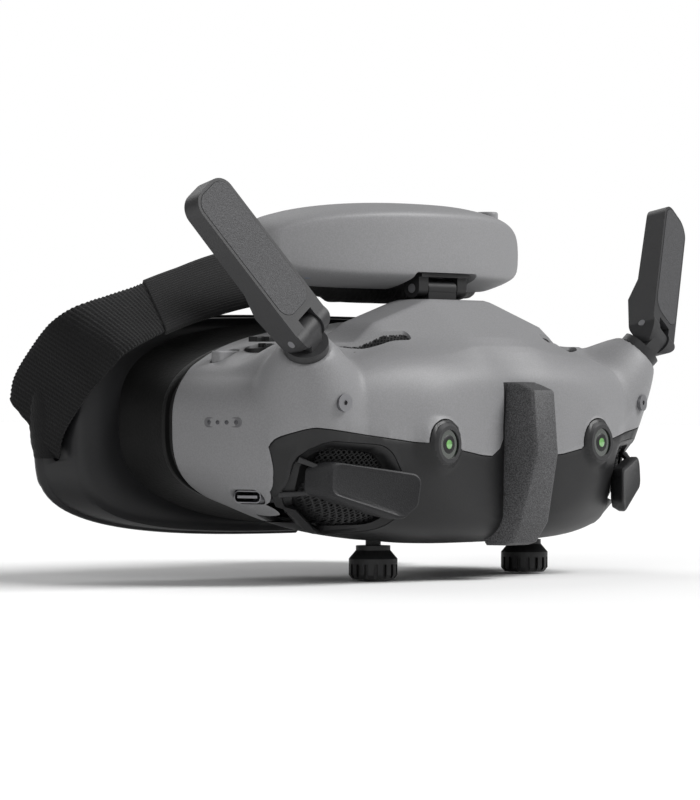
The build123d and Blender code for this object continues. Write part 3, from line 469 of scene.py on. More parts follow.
def section_ring(key, inset, steps):
    """Points round one casing section, set in from its outline."""
    depth, half_width, top, bottom, upper, lower = key
    ring = []
    for j in range(steps):
        x, z = super_point(2 * math.pi * j / steps, half_width - inset, top - inset - SECTION_MID,
                           SECTION_MID - bottom - inset, upper, lower)
        ring.append((x, depth, SECTION_MID + z))
    return ring


def ridge_height(y):
    """Crest of the central hump along the depth."""
    return np.interp(y, [-24, -21, -18, -2.5, 8.5, 15, 29],
                     [43.0, 48.0, 51.8, RIDGE_TOP, RIDGE_TOP, 59.5, 58.2])


def front_dish(x, y):
    """Shallow hollow in the nose of the casing, behind the centre strut."""
    return 1.8 * np.exp(-(x / 9.0) ** 2) * np.clip((-15.0 - y) / 6.0, 0, 1)


def sculpt_casing(points):
    """Raise the central hump, the antenna bosses and the camera bosses out of the plain casing form."""
    p = np.array(points, float)
    crest = ridge_height(p[:, 1])
    flank = np.interp(np.abs(p[:, 0]), [0, 12.5, 15, 36, 44], [0, 0, 0.6, 6.6, 12])
    hump = crest - flank
    upper = p[:, 2] > 44
    share = np.clip((p[upper, 2] - 44) / 5, 0, 1)
    p[upper, 2] += (soft_max(p[upper, 2], hump[upper], 2.6) - p[upper, 2]) * share
    p[:, 1] += front_dish(p[:, 0], p[:, 1])
    for side in SIDES.values():
        base = TURRET_BASE * (side, 1, 1)
        axis = TURRET_AXIS * (side, 1, 1)
        rel = p - base
        along = rel @ axis
        radial = np.linalg.norm(rel - np.outer(along, axis), axis=1)
        target = -np.maximum(0, radial - 6.4) ** 1.25 * 1.15
        near = (radial < 24) & (along > -22) & (along < 0)
        raised = np.minimum(soft_max(along, target, 2.5), 0.0)
        p[near] += np.outer((raised - along)[near], axis)
        reach = np.hypot(p[:, 0] - side * CAMERA_X, p[:, 2] - CAMERA_Z)
        cone = CAMERA_FRONT + np.maximum(0, reach - 5.4) * 0.95
        near = (reach < 12) & (p[:, 1] < -10)
        p[near, 1] = -soft_max(-p[near, 1], -cone[near], 0.5)
    return p


def casing_form(name):
    """Closed thick-walled casing, open at the rear."""
    outer_keys = curve_through(CASING_KEYS, DEEP_STEPS)
    outer = [point for key in outer_keys for point in section_ring(key, 0, ROUND_STEPS)]
    outer = sculpt_casing(outer)
    inner = []
    for key in outer_keys[::-1]:
        deep = key.copy()
        front_share = np.clip((20 - key[0]) / 40, 0, 1)
        deep[0] = key[0] + 2.8 * front_share
        if key[1] < 20:
            continue
        for point in section_ring(deep, WALL, ROUND_STEPS):
            inner.append((point[0], point[1] + front_dish(point[0], point[1]), point[2]))
    points = list(map(tuple, outer)) + inner
    rows = len(points) // ROUND_STEPS
    faces = grid_faces(rows, ROUND_STEPS)
    faces.append(tuple(range(ROUND_STEPS)))
    faces.append(tuple(range(len(points) - ROUND_STEPS, len(points)))[::-1])
    return make_object(name, points, faces, SHELL, 50)


def panel_outline(grow=0.0):
    """Outline of the dark front panel seen from the front."""
    right = [(6.9 + grow, 42.2 + grow), (7.2 + grow, 27.4), (9.2, 24.9 + grow), (13.2, 23.0 + grow),
             (17.8, 23.3 + grow), (CAMERA_X - 7.4, 24.6 + grow)]
    radius = 6.5 + grow
    for k in range(19):
        angle = math.radians(188 - 184 * k / 18)
        right.append((CAMERA_X + radius * math.cos(angle), CAMERA_Z + radius * math.sin(angle)))
    right += [(42.4, 26.8 + grow), (46.0, 27.3 + grow), (57.6, 28.9 + grow), (68.0, 30.3 + grow)]
    for k in range(9):
        angle = math.radians(88 - 80 * k / 8)
        right.append((70.2 + (5.4 + grow) * math.cos(angle), 25.0 + (5.6 + grow) * math.sin(angle)))
    right += [(74.9 + grow, 22.4), (73.9 + grow, 18.0), (72.7 + grow, 14.4), (70.2 + grow, 11.0),
              (66.0 + grow, 8.4), (62.0 + grow, 5.0), (61.0 + grow, -6.0)]
    left = [(-x, z) for x, z in right[::-1]]
    return left + right


def probe(tree, start, direction):
    """Point where a straight line first meets the casing, in millimetres."""
    found = tree.ray_cast(Vector(start) * MM, Vector(direction))
    return np.array(found[0]) / MM if found[0] is not None else None


def copy_of(piece, name):
    """Second piece with its own mesh."""
    twin = piece.copy()
    twin.data = piece.data.copy()
    twin.name = name
    bpy.context.scene.collection.objects.link(twin)
    return twin


def wide_strip(front, rear):
    """Outline, seen from above, of a strip wider than the casing."""
    return [(-CUT_SIDE, front), (CUT_SIDE, front), (CUT_SIDE, rear), (-CUT_SIDE, rear)]


def mirrored_outline(outline, side):
    """Outline drawn for the wearer's left, moved to the given side."""
    return [(side * x, z) for x, z in outline][::side]


def build_casing():
    """Split the sculpted casing at its seams and cut its openings; gives back a tree to probe its surface."""
    cover = casing_form("belly_body")
    tree = BVHTree.FromObject(cover, bpy.context.evaluated_depsgraph_get())
    shell = copy_of(cover, "shell_body")
    panel = copy_of(cover, "lower_panel")
    cut(shell, panel_outline(SEAM), CUT_FRONT, PANEL_REAR, ALONG_Y)
    cut(shell, wide_strip(CUT_FRONT, CUT_REAR), CUT_BELOW, COVER_TOP, ALONG_Z)
    cut(panel, panel_outline(-SEAM), CUT_FRONT, PANEL_REAR, ALONG_Y, "INTERSECT")
    cut(panel, wide_strip(COVER_FRONT - SEAM, CUT_REAR), CUT_BELOW, COVER_TOP, ALONG_Z)
    cut(cover, wide_strip(COVER_FRONT + SEAM, CUT_REAR), CUT_BELOW, COVER_TOP - SEAM * 2, ALONG_Z, "INTERSECT")
    for side in SIDES.values():
        cut(panel, mirrored_outline(vent_outline(0), side), CUT_FRONT, 10, ALONG_Y)
        cut(shell, mirrored_outline(grille_outline(0), side), 50, 80, ALONG_Z)
    for tag, side in SIDES.items():
        travel = rounded_rectangle(middle_of("adjusting_knob_" + tag)[0] - side, 0, 8.8, 4.9, 4.8)
        for piece in (cover, panel):
            cut(piece, travel, CUT_BELOW, 8, ALONG_Z)
    for node in ("back_button", "link_button"):
        middle, half = middle_of(node), half_size_of(node) + 0.35
        hole = rounded_rectangle(middle[0], middle[1], half[0], half[1], 1.8)
        cut(shell, hole, ROOF_LOW, ROOF_HIGH, ALONG_Z)
    for node, side, corner in (("usb_port", -1, 1.9), ("audio_jack", 1, 3.2)):
        middle, half = middle_of(node), half_size_of(node) + 0.3
        mouth = rounded_rectangle(middle[1], middle[2], half[1], half[2], corner)
        for piece in (shell, panel):
            cut(piece, mouth, *sorted((side * 58, side * 95)), ALONG_X)
    middle = middle_of("joystick_base")
    cut(shell, rounded_rectangle(middle[0], middle[1], 4.5, 4.5, 4.4, 10), ROOF_LOW, ROOF_HIGH, ALONG_Z)
    for piece, width, material, slot, node in (
            (shell, 0.25, SHELL, "grey_shell", "front_shell"),
            (panel, 0.35, PANEL, "dark_panel", "front_panel"),
            (cover, 0.3, BLACK, "black_plastic", "belly_cover")):
        piece.data.materials.clear()
        piece.data.materials.append(material)
        for polygon in piece.data.polygons:
            polygon.material_index = 0
        bevel(piece, width, 2, 40, 32)
        attach(piece, slot, node)
    return tree


def vent_outline(inset):
    """Outline of a side vent in the front panel, wearer's left."""
    corners = [(45.6, 4.4), (60.0, 3.0), (71.6, 11.0), (72.6, 27.8), (50.0, 26.2), (44.6, 16.0)]
    middle = np.mean(corners, axis=0)
    drawn = []
    for corner in corners:
        away = np.array(corner) - middle
        drawn.append(tuple(middle + away * (1 - inset / np.linalg.norm(away) * 1.25)))
    return rounded_outline(drawn, 7.0, 6)


def grille_outline(inset):
    """Outline of the slim air slot on top of the casing, wearer's left."""
    start, end = np.array((53.0, -2.0)), np.array((29.0, -9.0))
    along = (end - start) / np.linalg.norm(end - start)
    across = np.array((-along[1], along[0]))
    half = 1.5 - inset
    out = []
    for centre, turn in ((end - along * half, 1), (start + along * half, -1)):
        for k in range(9):
            angle = math.pi * k / 8
            spoke = across * math.cos(angle) + along * math.sin(angle)
            out.append(tuple(centre + half * turn * spoke))
    return out


def inside_outline(x, z, outline):
    """Whether a point lies inside an outline of pairs."""
    hit = False
    for i in range(len(outline)):
        (xa, za), (xb, zb) = outline[i - 1], outline[i]
        if (za > z) != (zb > z) and x < (xb - xa) * (z - za) / (zb - za) + xa:
            hit = not hit
    return hit


def perforated(name, outline, pitch, hole, place, thickness, material, skew=0.0, slots=1.0):
    """Thin sheet with a hole in every cell; place(a, b, depth) puts a flat point on its surface."""
    low = np.min(outline, axis=0)
    high = np.max(outline, axis=0)
    columns = int((high[0] - low[0]) / pitch) + 1
    rows = int((high[1] - low[1]) / (pitch * slots)) + 1
    points, faces = [], []
    for row in range(rows):
        for column in range(columns):
            a = low[0] + (column + 0.5) * pitch + skew * row
            b = low[1] + (row + 0.5) * pitch * slots
            if not inside_outline(a, b, outline):
                continue
            start = len(points)
            # round rim of the hole and square rim of the cell, in front and behind
            for half, level in ((0.5, 0), (hole / 2, 0), (hole / 2, thickness), (0.5, thickness)):
                for k in range(8):
                    c = math.cos(math.pi * (k + 0.5) / 4)
                    s = math.sin(math.pi * (k + 0.5) / 4)
                    reach = half * pitch
                    if half == 0.5:
                        reach /= max(abs(c), abs(s))
                    points.append(place(a + reach * c, b + reach * slots * s, level))
            faces += grid_faces(4, 8, closed_rows=True, start=start)
    return make_object(name, points, faces, material, 30)


def bar(name, start, end, width, height, material):
    """Slim bar between two points, with rounded edges and thicker ends."""
    start, end = Vector(start), Vector(end)
    along = (end - start).normalized()
    side = along.cross(Vector((0, 0, 1))).normalized()
    top = side.cross(along)
    rings = []
    for t in np.linspace(0, 1, 7):
        swell = 1 + 0.35 * (2 * t - 1) ** 2
        centre = start.lerp(end, t)
        ring = []
        for k in range(12):
            a, b = super_point(2 * math.pi * (k + 0.5) / 12, width / 2 * swell, height / 2 * swell,
                               height / 2 * swell, 4, 4)
            ring.append(tuple(centre + side * a + top * b))
        rings.append(ring)
    return loft(name, rings, material, 40)


def build_vents(tree):
    """Recessed tray, screen and two stays in each side vent."""
    for tag, side in SIDES.items():
        def surface(x, z):
            found = probe(tree, (x, CUT_FRONT, z), (0, 1, 0))
            return found[1] if found is not None else -4.0
        outer, lip, inner = (mirrored_outline(vent_outline(inset), side) for inset in (0.15, 0.9, 2.0))
        fronts = [min(surface(x, z), -1.0) for x, z in outer]
        insides = [min(surface(x, z), -2.0) for x, z in inner]
        rings = []
        # outline, depths of the casing's face along it, and how far behind the face the ring lies
        for outline, depths, behind in ((outer, fronts, 0.1), (lip, fronts, 0.5), (inner, insides, 1.7),
                                        (inner, insides, 5.0), (inner, insides, 5.8), (outer, fronts, 3.0)):
            rings.append([(x, y + behind, z) for (x, z), y in zip(outline, depths)])
        count = len(outer)
        points = [point for ring in rings for point in ring]
        faces = grid_faces(4, count) + grid_faces(2, count, start=4 * count)
        faces += [(5 * count + j, 5 * count + (j + 1) % count, (j + 1) % count, j) for j in range(count)]
        faces += flat_cap(3 * count, count) + flat_cap(4 * count, count)
        attach(make_object("vent_tray_" + tag, points, faces, PANEL, 40), "dark_panel")

        def place(x, z, level):
            return (x, min(surface(x, z), -2.0) + 3.4 + level, z)
        outline = mirrored_outline(vent_outline(1.4), side)
        screen = perforated("vent_screen_" + tag, outline, 1.35, 0.62, place, 0.5, BLACK, skew=0.35)
        attach(screen, "mesh", "vent_meshes")
        for level, name in ((21.4, "upper"), (12.4, "lower")):
            edge = (side * 70.9, surface(70.0, level) + 1.4, level + 1.2)
            tip = (side * 66.4, -13.2, 17.0 + (level - 17) * 0.55)
            attach(bar(f"vent_stay_{name}_{tag}", edge, tip, 1.5, 1.2, BLADE))


def build_fins():
    """Textured fins that float in front of the side vents, slanting back towards their outer ends."""
    corners = [(-68.6, 14.0), (-48.4, 7.0), (-44.6, 10.5), (-43.6, 18.8), (-67.8, 22.4)]
    outline = rounded_outline(corners, 2.6, 6)
    middle = np.mean(outline, axis=0)
    middle_depth, middle_x, slant = -20.2, -55.0, 0.463
    for tag, side in SIDES.items():
        rings = []
        # distance behind the front face, and inset from the outline
        for depth, inset in ((0.5, 2.2), (0.0, 1.0), (0.25, 0.45), (0.9, 0.0), (3.6, 0.0), (7.5, 1.2)):
            ring = []
            for corner in outline:
                away = np.array(corner) - middle
                x, z = middle + away * (1 - inset / np.linalg.norm(away))
                face = middle_depth - slant * (x - middle_x)
                crown = 0.35 * ((z - 15) / 7) ** 2
                ring.append((-side * (x - 0.42 * depth), face + 0.907 * depth + crown, z))
            rings.append(ring)
        attach(loft("fin_body_" + tag, rings, FIN, 30), "fins", "vent_fin_" + tag)


def build_strut():
    """Speckled centre strut: a bent front face with flanks that flare into the panel."""
    # height, depth of the face, half width of the face, depth and half width of the root
    keys = [(-0.5, -22.5, 5.2, -17.0, 6.5), (0.2, -24.6, 5.6, -17.0, 7.2), (5.0, -27.4, 6.5, -17.0, 9.0),
            (5.6, -27.8, 6.5, -17.0, 9.2), (23.4, -32.2, 4.9, -19.0, 7.4), (24.0, -32.3, 4.8, -19.0, 7.2),
            (39.6, -31.1, 4.7, -19.0, 6.4), (40.3, -30.7, 4.5, -19.0, 6.3), (41.8, -27.0, 4.2, -19.0, 6.1),
            (42.2, -25.4, 4.0, -19.0, 5.9)]
    rings = []
    for z, face, half, root, root_half in keys:
        flank = [(root_half, root), (root_half * 0.5 + half * 0.55, root * 0.45 + face * 0.55 + 1.0),
                 (half + 0.35, face + 1.1), (half + 0.05, face + 0.5), (half - 0.45, face + 0.05),
                 (half - 1.2, face - 0.08)]
        rings.append([(-x, y, z) for x, y in flank] + [(x, y, z) for x, y in flank[::-1]])
    strut = loft("strut_body", rings, STRUT, 28)
    bevel(strut, 0.3, 3, 30, 30)
    attach(strut, "strut", "center_strut")


def build_irises():
    """Small bright coating seen deep in each camera glass."""
    glass = node_box("camera_glasses")[0][1] + 0.05
    for tag in SIDES:
        x, _, z = middle_of("camera_module_" + tag)
        for name, radius, material, lift in (("iris", 1.25, IRIS, 0.34), ("iris_ring", 2.5, BLACK, 0.16)):
            rings = []
            for share, rise in ((1.0, 0.0), (0.94, lift * 0.7), (0.7, lift), (0.3, lift * 1.05)):
                rings.append([(a, glass - rise, b) for a, b in circle(x, z, radius * share, 24)])
            attach(loft(f"camera_{name}_{tag}", rings, material, 50), "camera_glass")


def build_grilles(tree):
    """Perforated strip sunk into each air slot on top."""
    for tag, side in SIDES.items():
        def place(x, y, level):
            found = probe(tree, (x, y, 90), (0, 0, -1))
            return (x, y, found[2] - 1.0 - level)
        outline = mirrored_outline(grille_outline(-0.3), side)
        attach(perforated("top_grille_" + tag, outline, 1.5, 0.66, place, 0.6, BLACK, slots=0.62))


# ------------------------------------------------------------------ rear: gasket, shroud, frame
REAR_MID = 31.2         # middle height of the face frame
REAR_STEPS = 240
FRAME_SHAPE = (86.5, 28.8, 28.8, 4.5, 4.5)


def even_angles(half_width, up, down, upper, lower):
    """Angles that space points evenly along a rounded outline."""
    fine = np.linspace(0, 2 * math.pi, 4001)
    trace = np.array([super_point(t, half_width, up, down, upper, lower) for t in fine])
    run = path_length(trace)
    return np.interp(np.linspace(0, run[-1], REAR_STEPS, endpoint=False), run, fine)


def path_length(path):
    """Length run from the first point of a path to each of its points."""
    return np.concatenate([[0], np.cumsum(np.linalg.norm(np.diff(path, axis=0), axis=1))])


FRAME_ANGLES = even_angles(*FRAME_SHAPE)


def nose_arch(x, z, inset):
    """Lift the lower edge clear of the wearer's nose."""
    radius = 14 + inset
    arch = -2 + math.sqrt(max(radius ** 2 - x ** 2, 0))
    if z > REAR_MID or abs(x) > radius + 6:
        return z
    return float(soft_max(np.array(z), np.array(arch), 2.5))


def frame_front(x):
    """Depth of the face frame's front edge, which curves back round the face."""
    return 38 + 17.8 * (x / 90) ** 2


def frame_rear(x):
    """Depth of the face frame's rear edge."""
    return 42 + 30.8 * (x / 90) ** 2


def frame_point(angle, inset):
    half_width, half_height, _, power, _ = FRAME_SHAPE
    x, z = super_point(angle, half_width - inset, half_height - inset, half_height - inset, power, power)
    return x, nose_arch(x, REAR_MID + z, inset)


def shroud_point(angle, grow):
    x, z = super_point(angle, 75.0 + grow, 27.0 + grow, 26.6 + grow, 3.2, 2.7)
    return x, nose_arch(x, REAR_MID + z, -grow + 1.5)


def eye_point(angle, half_width, half_height, nose_inset):
    """Point on the rim of the eye opening."""
    x, z = super_point(angle, half_width, half_height, half_height, 3.4, 3.4)
    return x, nose_arch(x, REAR_MID + z, nose_inset)


def build_gasket():
    """Ribbed sealing ring behind the casing."""
    rings = []
    # depth, and inset from the casing's rear section
    for depth, inset in ((27.5, 2.2), (29.3, 2.2), (29.5, 1.0), (30.6, 0.9), (30.8, 2.6),
                         (32.4, 2.6), (32.6, 1.2), (34.0, 1.4), (34.0, 4.0), (27.5, 4.0)):
        rings.append([(x, depth, z) for x, _, z in section_ring(CASING_KEYS[-1], inset, REAR_STEPS)])
    gasket = closed_loft("gasket_body", rings, RUBBER, 30)
    bevel(gasket, 0.2, 2, 40)
    attach(gasket, "shroud_rubber", "gasket_ring")


def build_shroud():
    """Light shroud that widens from the casing to the face frame, with a slight waist."""
    angles = even_angles(77.0, 25.0, 24.5, 2.5, 3.0)
    front, steps = 33.0, 14
    rings = []
    for wall in (0.0, 1.5):
        part = []
        for t in (i / steps for i in range(steps + 1)):
            ease = t * t * (3 - 2 * t) * 0.5 + t * 0.5
            scale = 1 - 0.9 * math.sin(math.pi * t) / 60
            ring = []
            for angle in angles:
                x0, z0 = super_point(angle, 76.4 - wall, 24.0 - wall, 23.6 - wall, 2.5, 3.1)
                x1, z1 = shroud_point(angle, 0.8 - wall)
                x = x0 * (1 - ease) + x1 * ease
                z = (z0 + 31.5) * (1 - ease) + z1 * ease
                rear = frame_front(x1) + 0.6
                ring.append((x * scale, front * (1 - t) + rear * t, REAR_MID + (z - REAR_MID) * scale))
            part.append(ring)
        rings += part[::-1] if wall else part
    attach(closed_loft("shroud_body", rings, RUBBER, 40), "shroud_rubber", "light_shroud")


def frame_ring(inset, blend, edge, offset):
    """Ring of the face frame at its front or rear edge; blend draws it in from the frame to the shroud."""
    ring = []
    for angle in FRAME_ANGLES:
        xo, zo = frame_point(angle, inset)
        xi, zi = shroud_point(angle, -0.4)
        x = xo * (1 - blend) + xi * blend
        z = zo * (1 - blend) + zi * blend
        depth = frame_rear(x) - frame_front(x)
        ring.append((x, edge(x) + offset * min(1.0, depth / 9), z))
    return ring


def build_frame():
    """Face frame with a rounded front, a raised bead at the rear and a slot for the head band on each side."""
    # inset, blend towards the shroud, and offset behind the edge
    front = [(2.4, 1.0, 1.6), (2.4, 1.0, 0.0), (2.2, 0.5, -0.15), (2.2, 0.0, 0.0), (1.1, 0.0, 0.4),
             (0.35, 0.0, 1.2), (0.1, 0.0, 2.4)]
    rear = [(0.15, 0.0, -3.4), (0.1, 0.0, -2.6), (-0.45, 0.0, -2.2), (-0.6, 0.0, -1.5), (-0.4, 0.0, -0.6),
            (0.1, 0.0, 0.0), (1.7, 0.0, 0.0), (2.1, 0.0, -0.5)]
    rings = [frame_ring(inset, blend, frame_front, offset) for inset, blend, offset in front]
    rings += [frame_ring(inset, blend, frame_rear, offset) for inset, blend, offset in rear]
    rings.append(frame_ring(2.4, 0.0, frame_front, 1.8))
    rim = closed_loft("frame_body", rings, FRAME, 28)
    slot = rounded_rectangle(0, 0, 1.3, 12.2, 1.2, 4)
    for tag, side in SIDES.items():
        outline = [(strap_slot_depth(tag) - 1.0 + a, 34 + b) for a, b in slot]
        cut(rim, outline, side * 80, side * 92, ALONG_X)
    bevel(rim, 0.15, 2, 50, 28)
    attach(rim, "frame_plastic", "face_frame")


def strap_slot_depth(tag):
    return MOUNTS["strap_slot_" + tag]["pos_m"][1] / MM


# ------------------------------------------------------------------ soft goods
SETTLE_FRAMES = 20


def swell(piece, voxel, pressure, cap):
    """Inflate a padded piece with cloth simulation, holding how far any point may move."""
    step = piece.modifiers.new("voxels", "REMESH")
    step.mode = "VOXEL"
    step.voxel_size = voxel * MM
    apply_modifiers(piece)
    rest = np.array([v.co for v in piece.data.vertices])
    cloth = piece.modifiers.new("cloth", "CLOTH")
    cloth.settings.use_pressure = True
    cloth.settings.uniform_pressure_force = pressure
    cloth.settings.effector_weights.gravity = 0
    cloth.settings.quality = 4
    cloth.point_cache.frame_end = SETTLE_FRAMES
    scene = bpy.context.scene
    for frame_number in range(1, SETTLE_FRAMES + 1):
        scene.frame_set(frame_number)
    graph = bpy.context.evaluated_depsgraph_get()
    moved = np.array([v.co for v in piece.evaluated_get(graph).data.vertices])
    scene.frame_set(1)
    piece.modifiers.clear()
    shift = moved - rest
    reach = np.linalg.norm(shift, axis=1)
    limit = cap * MM
    share = np.where(reach > limit, limit / np.maximum(reach, 1e-9), 1.0)
    placed = rest + shift * share[:, None]
    piece.data.vertices.foreach_set("co", placed.astype(np.float32).ravel())
    smooth = piece.modifiers.new("even", "SMOOTH")
    smooth.iterations = 4
    smooth.factor = 0.5
    apply_modifiers(piece)
    finer = piece.modifiers.new("finer", "SUBSURF")
    finer.levels = 1
    apply_modifiers(piece)
    piece.data.shade_smooth()


def build_face_cushion():
    """Ring of knitted foam around the eye opening, on its thin carrier."""
    rings = []
    # share of the way from the outer edge to the eye opening, and depth behind the frame
    for share, depth in ((0.04, 1.5), (0.0, 3.0), (0.03, 5.6), (0.16, 7.4), (0.4, 8.4),
                         (0.65, 8.2), (0.88, 6.8), (1.0, 4.6), (1.0, 1.5)):
        ring = []
        for angle in FRAME_ANGLES:
            xo, zo = frame_point(angle, 1.1)
            xi, zi = eye_point(angle, 69.5, 19.5, 6.0)
            x = xo * (1 - share) + xi * share
            ring.append((x, frame_rear(x) + depth, zo * (1 - share) + zi * share))
        rings.append(ring)
    foam = closed_loft("foam_ring", rings, FOAM, 60)
    swell(foam, 2.6, 2.0, 1.2)
    attach(foam, "foam", "face_cushion")

    rings = []
    for inset, depth in ((0.9, 0.05), (0.9, 1.5), (1.2, 1.7), (None, 1.7), (None, 0.05)):
        ring = []
        for angle in FRAME_ANGLES:
            x, z = eye_point(angle, 69.0, 19.2, 6.5) if inset is None else frame_point(angle, inset)
            ring.append((x, frame_rear(x) + depth, z))
        rings.append(ring)
    attach(closed_loft("carrier_body", rings, BLACK, 35), "black_plastic", "cushion_carrier")


PAD_MID = 78.6          # middle height of the forehead pad
PAD_STEPS = 200


def pad_front(x):
    """Depth of the pad's front face, which curves back round the forehead."""
    return 19.0 * (abs(x) / 56.0) ** 2


def pad_rear(x):
    """Depth of the pad's rear edge."""
    return 12.0 + 16.0 * (abs(x) / 56.0) ** 2


def pad_ring(side_inset, top_inset, bottom_inset, offset, base=pad_front):
    ring = []
    for j in range(PAD_STEPS):
        angle = 2 * math.pi * j / PAD_STEPS
        x, z = super_point(angle, 55.2 - side_inset, 11.9 - top_inset, 11.8 - bottom_inset, 2.7, 4.6)
        ring.append((x, base(x) + offset, PAD_MID + z))
    return ring


def build_pad():
    """Forehead pad: grey battery housing, black rear cover and leather cushion."""
    # insets at the side, top and bottom, and depth behind the front face
    front = [(3.6, 4.6, 5.2, -0.1), (2.7, 3.7, 4.3, 0.1), (2.0, 3.0, 3.6, 0.6), (1.5, 2.4, 3.0, 1.5),
             (1.0, 1.7, 2.2, 3.4), (0.6, 1.0, 1.3, 6.0), (0.2, 0.4, 0.5, 9.0)]
    rings = [pad_ring(*key) for key in front]
    rings += [pad_ring(0.0, 0.0, 0.2, -0.2, pad_rear), pad_ring(2.0, 2.0, 2.0, -0.2, pad_rear)]
    rings.append(pad_ring(4.0, 4.0, 4.6, 6.0))
    housing = loft("pad_body", rings, PAD, 40, strip_cap)
    finer = housing.modifiers.new("finer", "SUBSURF")
    finer.levels = 1
    apply_modifiers(housing)
    notch = rounded_outline([(-14.2, 58), (14.2, 58), (13.2, 71.6), (-13.2, 71.6)], 1.0, 4)
    cut(housing, notch, -10, 14, ALONG_Y)
    bevel(housing, 0.3, 2, 40, 35)
    for polygon in housing.data.polygons:
        polygon.material_index = 0
    attach(housing, "pad_shell", "battery_housing", "forehead")

    # inset all round, and depth behind the rear edge
    back = ((2.6, -3.0), (0.9, 0.0), (0.5, 0.4), (0.6, 1.4), (1.4, 2.0))
    rings = [pad_ring(inset, inset, inset, offset, pad_rear) for inset, offset in back]
    cover = loft("pad_back", rings, BLACK, 40, strip_cap)
    attach(cover, "black_plastic", "battery_rear_cover", "forehead")

    middle, half = middle_of("forehead_cushion"), half_size_of("forehead_cushion")
    wide, tall = half[0] - 1.5, half[2] - 1.2
    rings = []
    # inset from the outline and share of the thickness
    for inset, share in ((5.0, 0.02), (1.4, 0.06), (0.2, 0.3), (0.2, 0.6), (2.2, 0.88), (6.0, 0.98)):
        ring = []
        for j in range(PAD_STEPS):
            x, z = super_point(2 * math.pi * j / PAD_STEPS, wide - inset, tall - inset, tall - inset, 3.0, 3.4)
            ring.append((x, pad_rear(x) + 2.3 + 6.0 * share, middle[2] + z))
        rings.append(ring)
    cushion = loft("brow_cushion", rings, LEATHER, 60, strip_cap)
    swell(cushion, 3.0, 4.0, 2.4)
    attach(cushion, "pad_fabric", "forehead_cushion", "forehead")


# centre line of the head band from a side slot to the crown: sideways, depth, height
STRAP_KEYS = [(88.7, 68.5, 30.0), (88.7, 67.0, 36.0), (88.7, 62.0, 42.5), (88.4, 54.5, 50.0),
              (84.2, 48.4, 55.8), (72.0, 45.4, 60.6), (58.0, 44.8, 64.8), (40.0, 43.0, 69.4),
              (20.0, 41.0, 72.6), (0.0, 40.0, 73.6), (-20.0, 41.0, 72.6)]
ELASTIC_END = 68.0      # sideways station where the elastic meets the webbing


def band(name, path, width, thick, ribs, columns, material):
    """Flat band along a path, with woven ribs as real relief. ribs gives the height at (along, across)."""
    wide = strap_across(path)
    run = path_length(path)
    tangent = np.gradient(path, axis=0)
    tangent /= np.linalg.norm(tangent, axis=1)[:, None]
    normal = np.cross(tangent, wide)
    normal /= np.linalg.norm(normal, axis=1)[:, None]
    across = np.linspace(-0.5, 0.5, columns)
    body = 0.5 * thick * (1 - np.abs(2 * across) ** 12 * 0.6)
    rings = []
    for i in range(len(path)):
        ring = []
        for face in (1, -1):
            for j in range(columns)[::face]:
                lift = body[j] + ribs(run[i], across[j] * width)
                ring.append(tuple(path[i] + wide[i] * across[j] * width + normal[i] * lift * face))
        rings.append(ring)
    return loft(name, rings, material, 60)


def strap_path(outer, inner, count):
    """Evenly spaced points of the head band's centre line between two sideways stations."""
    dense = curve_through(STRAP_KEYS, 1200)
    dense = dense[(dense[:, 0] <= outer) & (dense[:, 0] >= inner)]
    run = path_length(dense)
    even = np.linspace(0, run[-1], count)
    return np.column_stack([np.interp(even, run, dense[:, k]) for k in range(3)])


def strap_across(path):
    """Direction of the band's width: it leans in over the head and stands upright at the slots."""
    sideways = np.abs(path[:, 0])
    inward = np.interp(sideways, [0, 30, 55, 72, 84, 88.4], [0, 0.2, 0.42, 0.42, 0.25, 0])
    inward *= -np.sign(path[:, 0])
    upright = np.interp(sideways, [0, 60, 80, 88.2], [0.57, 0.56, 0.57, 0.66])
    back = np.sqrt(np.maximum(1 - inward ** 2 - upright ** 2, 0.1))
    return np.column_stack([inward, back, upright])


def slanted_ribs(along, across):
    """Relief of the webbing's slanted ribs."""
    return 0.15 * math.sin(2 * math.pi * (along + 0.28 * across) / 1.15)


def straight_ribs(_, across):
    """Relief of the elastic's cords, which run along it."""
    return 0.10 * math.cos(2 * math.pi * across)


def build_strap():
    """Webbing on both sides, elastic over the crown, and the folded ends that pass through the slots."""
    rows = 520
    for tag, side in SIDES.items():
        path = strap_path(100, ELASTIC_END - 4, rows) * (side, 1, 1)
        webbing = band("strap_webbing_" + tag, path, 23.0, 1.2, slanted_ribs, 22, WEBBING)
        attach(webbing, "webbing", "head_strap", "strap")
    half = strap_path(ELASTIC_END, 0, 70)
    path = np.vstack([half, (half * (-1, 1, 1))[::-1][1:]])
    elastic = band("crown_elastic", path, 24.6, 2.3, straight_ribs, 104, ELASTIC)
    attach(elastic, "elastic", "elastic_band", "strap")
    for tag, side in SIDES.items():
        middle_y = strap_slot_depth(tag) + 2.6
        rings = []
        for wall in (0.0, 1.3):
            part = []
            for t in (i / 30 for i in range(31)):
                z = 22.5 + 23.0 * t
                pinch = 1 - 0.4 * (1 - t) ** 3 - 0.55 * t ** 3
                ripple = 0.08 * math.sin(2 * math.pi * z / 1.1)
                wide, deep = 4.0 * pinch - wall + ripple, 5.6 * pinch - wall + ripple
                turns = circle(0, 0, 1, 40)
                part.append([(side * (86.4 + wide * a), middle_y + deep * b, z) for a, b in turns])
            rings += part[::-1] if wall else part
        attach(closed_loft("strap_fold_" + tag, rings, WEBBING, 60), "webbing")


